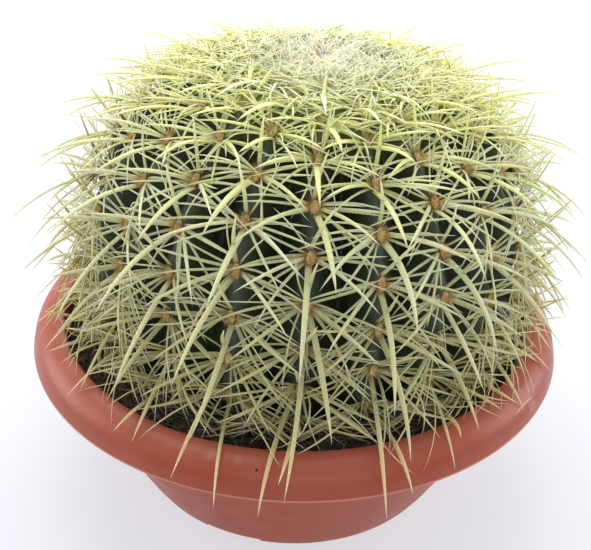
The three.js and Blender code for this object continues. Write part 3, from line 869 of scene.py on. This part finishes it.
def skin_material(context):
    """Dark green waxy skin: painted shade deep in the grooves, greyish bloom on the crests, corky specks, and
    pale new growth at the top that is lightened further as painted fill light.
    """
    colours = context.scene.cactus_plant
    skin = Finish("cactus_skin", colours.groove_shade_colour, {
        "Roughness": 0.5, "Subsurface Weight": 0.08, "Subsurface Radius": (0.4, 0.8, 0.3),
        "Subsurface Scale": mm(2), "Specular IOR Level": 0.3, "Coat Weight": 0.05, "Coat Roughness": 0.4})
    crest, broad, fine = skin.noted("crest"), skin.grain(38, 4), skin.grain(900, 3)
    # the ribs get the skin's own green, darkening towards the painted groove shade in the grooves
    skin.layer(skin.ranged(crest, 0.05, 0.75), colours.skin_colour)
    skin.layer(skin.ranged(broad, 0.35, 0.7, 0, 0.5), srgb(58, 72, 36))
    skin.layer(skin.times(skin.ranged(crest, 0.6, 1), skin.ranged(broad, 0.3, 0.65, 0.25, 0.8)),
               colours.bloom_colour)
    skin.layer(skin.ranged(skin.noted("areole"), 0.72, 1, 0, 0.5), srgb(112, 110, 70))
    skin.layer(skin.ranged(fine, 0.62, 0.75, 0, 0.45), srgb(112, 120, 96))
    # pale new growth, made lighter still as painted fill light between the crown's spines
    skin.layer(skin.noted("young"), srgb(160, 164, 92))
    skin.bump(fine, 0.12, 0.6)
    skin.bump(broad, 0.8, 0.35)
    return skin.material


class CACTUS_OT_stem(bpy.types.Operator):
    """Raise the ribbed stem from a round ball"""
    bl_idname = "cactus.stem"
    bl_label = "Stem"
    bl_options = {"REGISTER", "UNDO"}

    def execute(self, context):
        stem = Stem(context)
        start_fresh()
        bpy.ops.mesh.primitive_uv_sphere_add(segments=stem.ribs * STEM_COLUMNS, ring_count=STEM_ROWS,
                                             radius=1, location=(0, 0, 0))
        piece = newest("stem")
        points, notes = ribbed_points(stem, points_of(piece))
        move_points(piece, stem.placed(points))
        for name, values in notes.items():
            note(piece, name, values)
        finish_piece(piece, skin_material(context), "cactus")
        return {"FINISHED"}


# Areole felt and crown wool

PAD_SIZE = (mm(1.5), mm(2.7), mm(0.6))  # half sizes across, down and out
PAD_LIFT = mm(0.75)
FELT_SPREAD, CROWN_SPREAD = (mm(2.7), mm(1.6)), (mm(27), mm(27))  # of the hairs' roots, down and across
FELT_HAIR, CROWN_HAIR = (mm(2.2), mm(0.19)), (mm(2.6), mm(0.2))  # length and width


def felt_material(context):
    """Short felt, tan on grown areoles and cream on the youngest, with brown specks and pale streaks."""
    felt = Finish("areole_felt", srgb(222, 210, 150), {"Roughness": 0.9, "Sheen Weight": 0.3})
    age = felt.noted("age")
    felt.layer(felt.ranged(age, 0.1, 0.42), context.scene.cactus_wool.felt_colour)
    felt.layer(felt.ranged(age, 0.72, 1, 0, 0.6), srgb(206, 186, 120))
    felt.layer(felt.ranged(felt.noted("tint"), 0, 1, 0, 0.6), srgb(232, 196, 142))
    felt.layer(felt.times(felt.ranged(felt.grain(900, 2), 0.48, 0.62, 0, 0.6), felt.ranged(age, 0.1, 0.3)),
               srgb(150, 104, 48))
    felt.layer(felt.ranged(felt.grain(1300, 2, stretch=(1, 1, 0.25)), 0.55, 0.68, 0, 0.6),
               srgb(232, 216, 156))
    felt.bump(felt.grain(1800, 2), 0.25, 0.8)
    return felt.material


def wool_material(context):
    """Cream wool with tan patches."""
    colours = context.scene.cactus_wool
    wool = Finish("crown_wool", colours.cream_colour, {"Roughness": 0.95, "Sheen Weight": 0.4})
    fine = wool.grain(1300, 2)
    wool.layer(wool.ranged(wool.grain(75, 2), 0.5, 0.62, 0, 0.9), colours.tan_colour)
    wool.layer(wool.ranged(fine, 0.4, 0.75, 0, 0.3), srgb(168, 140, 100))
    wool.bump(fine, 0.4, 0.9)
    return wool.material


def hair_master():
    """A thin three-sided hair of unit width and length along Z."""
    return drawn_out("hair_master", [(0.5, 0), (0.42, 0.5), (0.05, 1)], 3)


def hair_frames(draw, at, spread, size, count, hair):
    """Frames for hairs that stand out of an oval patch and lean outwards from its middle."""
    spread_down, spread_across = (reach * size for reach in spread)
    length, width = hair
    frames = []
    for _ in range(count):
        angle = draw.uniform(0, FULL_TURN)
        share = math.sqrt(draw.random())
        a, b = share * math.cos(angle), share * math.sin(angle)
        root = at["place"] + at["down"] * a * spread_down + at["across"] * b * spread_across
        way = (at["out"] + at["down"] * a * draw.uniform(0.3, 1.3)
               + at["across"] * b * draw.uniform(0.3, 1.3)).normalized()
        side = way.cross(at["down"]).normalized()
        frames.append((root, side * width, way.cross(side) * width, way * (length * draw.uniform(0.6, 1.2))))
    return frames


class CACTUS_OT_areoles(bpy.types.Operator):
    """Set a felt pad with short hairs on every areole"""
    bl_idname = "cactus.areoles"
    bl_label = "Areoles"
    bl_options = {"REGISTER", "UNDO"}

    def execute(self, context):
        count = context.scene.cactus_wool.hairs
        draw = random.Random(11)
        pads, hairs, ages = [], [], []
        for at in Stem(context).areoles():
            down = at["length"] - FIRST_AREOLE
            size = 0.75 + 0.25 * min(1, down / mm(50))
            place = at["place"] + at["out"] * PAD_LIFT
            tall = draw.uniform(0.85, 1.15)
            across, long, thick = PAD_SIZE
            pads.append((place, at["across"] * across * size / tall, at["down"] * long * size * tall,
                         at["out"] * thick * draw.choice((-1, 1))))
            ages.append(min(1, max(0, down / FULL_AGE)))
            hairs += hair_frames(draw, {**at, "place": place + at["out"] * mm(0.2)}, FELT_SPREAD, size,
                                 count, FELT_HAIR)
        material = felt_material(context)
        for name, master, frames, age, tints in (
                ("areole_felt", uneven_ball("pad_master", 2, 0.3, 2.6), pads, ages, (0, 0.3)),
                ("areole_hairs", hair_master(), hairs, np.repeat(ages, count), (0.2, 1))):
            notes = {"age": age, "tint": [draw.uniform(*tints) for _ in frames]}
            finish_piece(placed_copies(name, master, frames, notes), material)
        return {"FINISHED"}


class CACTUS_OT_crown(bpy.types.Operator):
    """Fill the stem's top with wool and young upright spines"""
    bl_idname = "cactus.crown"
    bl_label = "Crown"
    bl_options = {"REGISTER", "UNDO"}

    def wool(self, stem, material):
        start_fresh()
        bpy.ops.mesh.primitive_uv_sphere_add(segments=96, ring_count=64, radius=1, location=(0, 0, 0))
        piece = newest("crown_wool")
        points = points_of(piece)
        rise = CROWN_TOP - CROWN_SEAT
        points[:, :2] *= CROWN_RADIUS
        share = 0.3 + points[:, 2] * np.where(points[:, 2] > 0, 0.62, 0.3)
        points[:, 2] = CROWN_SEAT + mm(0.3) + rise * share
        lumps = np.array([noise.noise(Vector(p) * 170) + 0.6 * noise.noise(Vector(p) * 420) for p in points])
        points[:, 2] += np.where(points[:, 2] > CROWN_SEAT + mm(1.5), lumps * mm(0.9), 0)
        move_points(piece, stem.placed(points))
        finish_piece(piece, material, "crown")

    def spines(self, context, stem, out, draw):
        growth, lines = Growth(context, draw), []
        count = context.scene.cactus_spines.young
        for i in range(count):
            share = math.sqrt((i + 0.5) / count)
            angle = i * math.radians(137.508)  # the golden angle
            away = stem.turn @ Vector((math.sin(angle), -math.cos(angle), 0))
            seat = stem.place @ Vector((0, 0, CROWN_SEAT + mm(2)))
            at = {"place": seat + away * (CROWN_RADIUS - mm(1.4)) * share, "out": out, "down": away,
                  "across": out.cross(away), "face": away + out * 0.2,
                  "length": FIRST_AREOLE - mm(16) * (1 - 0.8 * share)}
            growth.thin(lines, at, YOUNG_KIND, (0.7, 1.15), draw.uniform(9, 17), draw.uniform(6, 62),
                        draw.uniform(-160, 160), draw.uniform(-16, 16))
        finish_piece(bent_spines("young_spines", spine_master(5, 7), lines),
                     spine_material(context), "crown")

    def execute(self, context):
        stem, draw = Stem(context), random.Random(23)
        material = wool_material(context)
        self.wool(stem, material)
        top = {name: stem.turn @ Vector(way)
               for name, way in (("out", (0, 0, 1)), ("down", (0, -1, 0)), ("across", (1, 0, 0)))}
        top["place"] = stem.place @ Vector((0, 0, CROWN_TOP - mm(1.6)))
        count = context.scene.cactus_wool.crown_hairs
        hairs = hair_frames(draw, top, CROWN_SPREAD, 1, count, CROWN_HAIR)
        notes = {"tint": [draw.random() for _ in hairs]}
        piece = placed_copies("crown_hairs", hair_master(), hairs, notes)
        finish_piece(piece, material, "crown")
        self.spines(context, stem, top["out"], draw)
        return {"FINISHED"}


# Bowl

NOTCHES, DRAINS = 3, 6
DRAIN_CIRCLE = mm(45)
CHANNEL_START, CHANNEL_LENGTH = mm(35), mm(60)
# Marks on the plastic: a place, and how far from it the mark starts to fade and has gone, in mm
CRUSTS = (((-18.9, -101.2, 74.3), 0.3, 2.4), ((-27.8, -98.7, 74.5), 0.6, 3.6))
RUB, SPECK = ((93.1, -57.1, 67.8), 0.5, 4), ((-11.9, -104.8, 72.7), 0.4, 0.75)
SCRAPE_MIDDLE = (89.04, -60.67, 70.09)  # in mm
SCRAPE_ALONG, SCRAPE_BOW_WAY = (-0.574, -0.818, 0.02), (-0.288, 0.225, 0.931)
SCRAPE_LENGTH, SCRAPE_BOW = mm(15.5), mm(0.77)


def near_spot(finish, spot, inner, outer):
    """1 close to a spot, falling to 0 further away, all in mm."""
    away = finish.add("VectorMath", {0: finish.place, 1: Vector(spot) / 1000}, operation="DISTANCE")
    return finish.ranged(away.outputs["Value"], mm(inner), mm(outer), 1, 0)


def scrape_share(finish):
    """1 along a short bowed scratch and 0 beside it."""
    offset = finish.add("VectorMath", {0: finish.place, 1: Vector(SCRAPE_MIDDLE) / 1000},
                        operation="SUBTRACT").outputs[0]
    along, across = (finish.add("VectorMath", {0: offset, 1: way}, operation="DOT_PRODUCT").outputs["Value"]
                     for way in (SCRAPE_ALONG, SCRAPE_BOW_WAY))
    bent = finish.times(finish.times(along, along), SCRAPE_BOW / (SCRAPE_LENGTH / 2) ** 2)
    beside = finish.worked("ADD", finish.worked("SUBTRACT", across, SCRAPE_BOW), bent)
    inside = finish.ranged(finish.worked("ABSOLUTE", along), SCRAPE_LENGTH * 0.3, SCRAPE_LENGTH / 2, 1, 0)
    return finish.times(inside, finish.ranged(finish.worked("ABSOLUTE", beside), mm(0.1), mm(0.55), 1, 0))


def plastic_material(context):
    """Matt terracotta-coloured plastic, a little uneven, with faint rubbed patches, scratches and marks,
    painted light on the band's top and a painted highlight line along the band's lower edge.
    """
    bowl = context.scene.cactus_bowl
    plastic = Finish("bowl_plastic", bowl.colour, {
        "Roughness": 0.36, "Subsurface Weight": 0.05, "Subsurface Scale": mm(2)})
    broad, middle, fine = (plastic.grain(*size) for size in ((16, 3), (90, 4), (1600, 2)))
    worn = plastic.times(plastic.ranged(broad, 0.42, 0.68), plastic.ranged(middle, 0.4, 0.65))
    plastic.layer(plastic.times(worn, 0.35), bowl.worn_colour)
    strokes = plastic.ranged(plastic.grain(1, 5, 0.7, stretch=(30, 30, 900)), 0.64, 0.75)
    plastic.layer(plastic.times(strokes, plastic.ranged(broad, 0.5, 0.65, 0, 0.3)), srgb(214, 160, 146))
    plastic.layer(plastic.ranged(fine, 0.66, 0.8, 0, 0.3), srgb(128, 66, 56))  # grime
    height = plastic.along("Z")
    plastic.layer(plastic.ranged(height, BOWL_TOP - mm(6), BOWL_TOP, 0, 0.55), srgb(190, 104, 84))  # painted light: the band's top is lighter so that the shade the spines cast there doesn't show
    lip = BOWL_TOP - bowl.band_drop  # a painted highlight line runs along its edge
    # painted highlight: a pale line just below the band's lower edge
    plastic.layer(plastic.times(plastic.ranged(height, lip - mm(1.3), lip - mm(1)),
                                plastic.ranged(height, lip - mm(0.3), lip, 0.45, 0)), srgb(226, 158, 142))
    crusts = plastic.worked("MAXIMUM", *(near_spot(plastic, *crust) for crust in CRUSTS))
    plastic.layer(plastic.times(crusts, plastic.ranged(fine, 0.3, 0.6, 0.15, 0.5)), srgb(196, 140, 116))
    plastic.layer(plastic.times(near_spot(plastic, *RUB), 0.4), srgb(196, 146, 122))
    plastic.layer(plastic.times(scrape_share(plastic), 0.6), srgb(226, 172, 156))
    plastic.layer(near_spot(plastic, *SPECK), srgb(84, 26, 16))
    plastic.feed(plastic.shader.inputs["Roughness"], plastic.ranged(middle, 0.3, 0.7, 0.3, 0.42))
    plastic.feed(plastic.shader.inputs["Specular IOR Level"],
                 plastic.ranged(height, lip - mm(1.6), lip - mm(0.4), 0.1, 0.4))
    plastic.bump(plastic.grain(260, 2), 0.06, 0.5)
    plastic.bump(fine, 0.02, 0.5)
    return plastic.material


class CACTUS_OT_bowl(bpy.types.Operator):
    """Turn the bowl, then cut its channels and drainage holes"""
    bl_idname = "cactus.bowl"
    bl_label = "Bowl"
    bl_options = {"REGISTER", "UNDO"}

    def execute(self, context):
        bowl = context.scene.cactus_bowl
        piece = drawn_out("bowl_shell", BowlShape(context).rings(), bowl.sides)
        for i in range(NOTCHES):
            start_fresh()
            bpy.ops.mesh.primitive_cube_add(size=1, location=(0, 0, 0))
            channel = bpy.context.object
            channel.scale = (bowl.notch_width, CHANNEL_LENGTH, 2 * bowl.notch_height)
            bpy.ops.object.transform_apply(location=False, rotation=False, scale=True)
            channel.location = (0, -CHANNEL_START - CHANNEL_LENGTH / 2, 0)
            bpy.ops.object.transform_apply(location=True, rotation=False, scale=False)
            channel.rotation_euler.z = bowl.notch_turn + i * FULL_TURN / NOTCHES
            bevel = channel.modifiers.new("Round", "BEVEL")
            bevel.width, bevel.segments = mm(1.2), 3
            cut_by(piece, channel)
        for i in range(DRAINS):
            start_fresh()
            angle = bowl.notch_turn + i * FULL_TURN / DRAINS
            place = (DRAIN_CIRCLE * math.sin(angle), -DRAIN_CIRCLE * math.cos(angle), 0)
            bpy.ops.mesh.primitive_cylinder_add(vertices=40, radius=bowl.drain_radius, depth=4 * bowl.floor,
                                                location=place)
            cut_by(piece, bpy.context.object)
        finish_piece(piece, plastic_material(context), "bowl", smooth_degrees=32)
        return {"FINISHED"}


# Soil

SOIL_INNER = mm(60)  # the soil's top goes on under the stem to here
SOIL_SIDES, SOIL_RINGS = 300, 44
SOIL_HOLE = ((58, 58), (56, 50), (24, 46), (21, 32.8), (1, 32.2))  # radius and height in mm
BED_DROP = mm(0.9)  # of the bed below its edge height, before the lumps
RISE_RADIUS = mm(96)  # where the bed's rise to the stem begins
LITTER_INNER, LITTER_OUTER = mm(70), mm(95)
DEAD_LOW, DEAD_OUT = mm(68.4), mm(94)  # how low and how far out the tip of a dead spine may lie
FIBRE_RINGS = [(0.5, 0), (0.5, 0.2), (0.45, 0.4), (0.4, 0.6), (0.3, 0.8), (0.05, 1)]


def soil_height(soil, x, y):
    """The soil's top: a gentle rise to the stem with lumps of several sizes."""
    distance = math.hypot(x, y) / RISE_RADIUS
    rise = min(soil.rise, soil.rise * (1 - distance ** 2) * 1.6)
    spot = Vector((x, y, 0))
    lumps = noise.noise(spot * 90) * 0.7 + noise.noise(spot * 260) * 0.5 + noise.noise(spot * 700) * 0.3
    return SOIL_EDGE + rise - BED_DROP + soil.roughness * lumps * 0.7


def litter_spot(draw):
    """A random place on the ring of soil that shows round the stem."""
    angle = draw.uniform(0, FULL_TURN)
    radius = math.sqrt(draw.uniform(LITTER_INNER ** 2, LITTER_OUTER ** 2))
    return radius * math.cos(angle), radius * math.sin(angle)


def soil_material(colours):
    """Dark fibrous peat."""
    peat = Finish("soil_peat", colours.dark_colour, {"Roughness": 0.92})
    fine = peat.grain(900, 4)
    peat.layer(peat.ranged(peat.grain(120, 4), 0.38, 0.66), colours.brown_colour)
    peat.layer(peat.ranged(fine, 0.6, 0.78, 0, 0.6), srgb(122, 98, 76))
    peat.bump(fine, 0.5, 0.9)
    return peat.material


def litter_material(colours):
    """Crumbs, fibres and dead spines, each in a brown of its own."""
    litter = Finish("soil_litter", colours.dark_colour, {"Roughness": 0.9})
    fine = litter.grain(1500, 3)
    litter.layer(litter.noted("tint"), colours.brown_colour)
    litter.layer(litter.noted("pale"), colours.fibre_colour)
    litter.layer(litter.ranged(fine, 0.5, 0.75, 0, 0.5), srgb(58, 44, 36))
    litter.bump(fine, 0.3, 0.8)
    return litter.material


class CACTUS_OT_soil(bpy.types.Operator):
    """Fill the bowl with soil, and strew crumbs, fibres and dead spines on it"""
    bl_idname = "cactus.soil"
    bl_label = "Soil"
    bl_options = {"REGISTER", "UNDO"}

    def bed(self, context, soil):
        """The block of soil that fills the bowl, uneven on its top only."""
        bowl, edge = BowlShape(context), SOIL_HIGH.x
        rings = [(bowl.inside(bowl.floor) - mm(3.2), SOIL_LOW.z),
                 (bowl.inside(bowl.floor + mm(3)) - mm(0.3), bowl.floor + mm(3.3)),
                 (bowl.inside(mm(58)) - mm(0.4), mm(58)),
                 *((edge - (edge - SOIL_INNER) * i / SOIL_RINGS, SOIL_EDGE) for i in range(SOIL_RINGS + 1)),
                 *((mm(radius), mm(height)) for radius, height in SOIL_HOLE)]
        piece = drawn_out("soil_bed", rings, SOIL_SIDES)
        points = points_of(piece)
        outer = np.hypot(points[:, 0], points[:, 1]) > SOIL_INNER - mm(0.1)
        for i in np.nonzero((points[:, 2] > SOIL_EDGE - mm(0.5)) & outer)[0]:
            points[i, 2] = soil_height(soil, points[i, 0], points[i, 1])
        move_points(piece, points)
        finish_piece(piece, soil_material(soil), "soil")

    def crumbs(self, soil, draw, material):
        frames = []
        for _ in range(soil.crumbs):
            x, y = litter_spot(draw)
            size = mm(draw.uniform(0.4, 1.0) ** 2 * 1.5)
            turn = Matrix.Rotation(draw.uniform(0, 6.28), 3, Vector((draw.random(), draw.random(), 0.5)))
            axes = [turn @ Vector(axis) * size * draw.uniform(0.6, 1.3)
                    for axis in ((1, 0, 0), (0, 1, 0), (0, 0, 1))]
            frames.append((Vector((x, y, soil_height(soil, x, y) + size * 0.35)), *axes))
        notes = {"tint": [draw.random() for _ in frames], "pale": [0.35 * draw.random() ** 3 for _ in frames]}
        lump = uneven_ball("crumb_master", 1, 0.35, 2.3)
        finish_piece(placed_copies("soil_crumbs", lump, frames, notes), material)

    def fibres(self, soil, draw, material):
        master = drawn_out("fibre_master", FIBRE_RINGS, 4)
        shape = points_of(master)
        copies = []
        for _ in range(soil.fibres):
            x, y = litter_spot(draw)
            angle = draw.uniform(0, FULL_TURN)
            reach, width = mm(draw.uniform(4, 17)), mm(draw.uniform(0.18, 0.5))
            bend = draw.uniform(-1.2, 1.2)
            place = []
            for px, py, along in shape:
                a = angle + bend * along
                cx, cy = x + reach * along * math.cos(a), y + reach * along * math.sin(a)
                radius = math.hypot(cx, cy)
                if radius > LITTER_OUTER:
                    cx, cy = cx * LITTER_OUTER / radius, cy * LITTER_OUTER / radius
                lift = mm(0.3) + mm(1.6) * math.sin(math.pi * along) * abs(math.sin(angle * 3))
                place.append((cx - px * width * math.sin(a), cy + px * width * math.cos(a),
                              soil_height(soil, cx, cy) + lift + py * width))
            copies.append(place)
        pale = [draw.random() ** 1.5 for _ in copies]
        notes = {"tint": [draw.random() for _ in copies], "pale": pale}
        finish_piece(gathered("soil_fibres", np.array(copies), faces_of(master), notes), material)
        remove(master)

    def old_spines(self, soil, draw, material):
        """Dead spines low round the stem, most of them lying along the soil's ring."""
        lines = []
        for _ in range(soil.old_spines):
            angle = draw.uniform(0, FULL_TURN)
            away = Vector((math.sin(angle), -math.cos(angle), 0))
            along = Vector((math.cos(angle), math.sin(angle), 0)) * draw.choice((-1, 1))
            root = away * mm(draw.uniform(74, 82)) + UP * mm(draw.uniform(68, 76))
            reach = mm(draw.uniform(12, 24))
            first = (along + away * draw.uniform(0, 0.7) + UP * draw.uniform(-0.15, 0.2)).normalized()
            second = (along + away * draw.uniform(-0.2, 0.5) - UP * draw.uniform(0, 0.3)).normalized()
            while (root + (first + second) * reach / 2).z < DEAD_LOW:
                first, second = (first + UP * 0.1).normalized(), (second + UP * 0.12).normalized()
            while math.hypot(*(root + (first + second) * reach / 2).xy) > DEAD_OUT:
                reach *= 0.93
            lines.append((root, first, second, reach, mm(draw.uniform(0.4, 0.75)), THIN_FLATNESS, UP, 0,
                          draw.random()))
        piece = bent_spines("old_spines", spine_master(5, 7), lines)
        note(piece, "pale", [draw.uniform(0.35, 1) for _ in piece.data.vertices])
        finish_piece(piece, material)

    def execute(self, context):
        soil, draw = context.scene.cactus_soil, random.Random(31)
        self.bed(context, soil)
        material = litter_material(soil)
        for strew in (self.crumbs, self.fibres, self.old_spines):
            strew(soil, draw, material)
        return {"FINISHED"}


# Stage

IMAGE_WIDTH = 591  # pixels
SENSOR_WIDTH = 36
CAMERA_SIDE = mm(-0.3)  # how far the point that the camera looks at lies to the right
LIGHT_AIM = Vector((0, 0, mm(110)))
# Name, the setting with its power, size and place
LIGHTS = (
    ("top_light", "top_light", 0.9, (-0.1, 0.35, 0.95)),
    ("fill_light", "fill_light", 0.8, (0.15, -0.9, 0.55)),
    ("left_light", "side_light", 0.6, (-0.95, 0.2, 0.4)),
    ("right_light", "side_light", 0.6, (0.95, 0.2, 0.4)),
    ("back_light", "back_light", 0.9, (0, 0.95, 0.45)),
)


def floor_material(stage):
    """Pale paper that glows a little, so the floor is nearly white."""
    paper = Finish("floor_paper", stage.floor_colour, {
        "Roughness": 0.8, "Emission Color": (0.955, 0.96, 1, 1), "Emission Strength": stage.floor_glow})
    paper.layer(paper.ranged(paper.grain(3, 2), 0.3, 0.7, 0, 0.1), srgb(122, 124, 130))
    return paper.material


class CACTUS_OT_stage(bpy.types.Operator):
    """Lay the floor, hang the lights and set up the camera"""
    bl_idname = "cactus.stage"
    bl_label = "Stage"
    bl_options = {"REGISTER", "UNDO"}

    def lights(self, context, stage):
        for name, setting, size, place in LIGHTS:
            data = bpy.data.lights.new(name, "AREA")
            data.energy, data.size, data.color = getattr(stage, setting), size, (0.94, 0.97, 1)
            lamp = bpy.data.objects.new(name, data)
            lamp.location = place
            lamp.rotation_mode = "QUATERNION"
            lamp.rotation_quaternion = (LIGHT_AIM - Vector(place)).to_track_quat("-Z", "Y")
            context.scene.collection.objects.link(lamp)
        world = context.scene.world or bpy.data.worlds.new("world")
        context.scene.world = world
        world.use_nodes = True
        background = world.node_tree.nodes["Background"]
        background.inputs["Color"].default_value = (0.97, 0.98, 1, 1)
        background.inputs["Strength"].default_value = stage.sky

    def camera(self, context, stage):
        back = Vector((0, -math.cos(stage.elevation), math.sin(stage.elevation)))
        place = Vector((CAMERA_SIDE, 0, stage.aim_height)) + back * stage.distance
        right = Vector((1, 0, 0))
        up = right.cross(-back)
        side = right * math.cos(stage.roll) + up * math.sin(stage.roll)
        over = up * math.cos(stage.roll) - right * math.sin(stage.roll)
        data = bpy.data.cameras.new("camera")
        data.sensor_fit = "HORIZONTAL"
        data.sensor_width = SENSOR_WIDTH
        data.lens = stage.focal_pixels / IMAGE_WIDTH * SENSOR_WIDTH
        data.clip_start = 0.01
        camera = bpy.data.objects.new("camera", data)
        axes = Matrix((side, over, back)).transposed().to_4x4()
        camera.matrix_world = Matrix.Translation(place) @ axes
        context.scene.collection.objects.link(camera)
        context.scene.camera = camera

    def execute(self, context):
        stage = context.scene.cactus_stage
        start_fresh()
        bpy.ops.mesh.primitive_plane_add(size=6, location=(0, 0, mm(-0.05)))
        floor = newest("floor")
        floor.data.materials.append(floor_material(stage))
        self.lights(context, stage)
        self.camera(context, stage)
        context.scene.view_settings.view_transform = "Standard"
        return {"FINISHED"}


class CACTUS_PT_panel(bpy.types.Panel):
    """Lists the steps that model the cactus and its bowl"""
    bl_idname = "CACTUS_PT_panel"
    bl_label = "Potted round cactus"
    bl_space_type = "VIEW_3D"
    bl_region_type = "UI"
    bl_category = "Cactus"

    def draw(self, context):
        for name in STEPS:
            self.layout.operator(f"cactus.{name}")


STEPS = ("bowl", "soil", "stem", "areoles", "spines", "crown", "stage")
SETTINGS = {"cactus_bowl": BowlSettings, "cactus_plant": PlantSettings, "cactus_spines": SpineSettings,
            "cactus_wool": WoolSettings, "cactus_soil": SoilSettings, "cactus_stage": StageSettings}
CLASSES = (*SETTINGS.values(), CACTUS_OT_bowl, CACTUS_OT_soil, CACTUS_OT_stem, CACTUS_OT_areoles,
           CACTUS_OT_spines, CACTUS_OT_crown, CACTUS_OT_stage, CACTUS_PT_panel)


def register():
    for cls in CLASSES:
        bpy.utils.register_class(cls)
    for name, group in SETTINGS.items():
        setattr(bpy.types.Scene, name, PointerProperty(type=group))


def unregister():
    for name in SETTINGS:
        delattr(bpy.types.Scene, name)
    for cls in reversed(CLASSES):
        bpy.utils.unregister_class(cls)


def main():
    register()
    for name in STEPS:
        getattr(bpy.ops.cactus, name)()


if __name__ == "__main__":
    main()
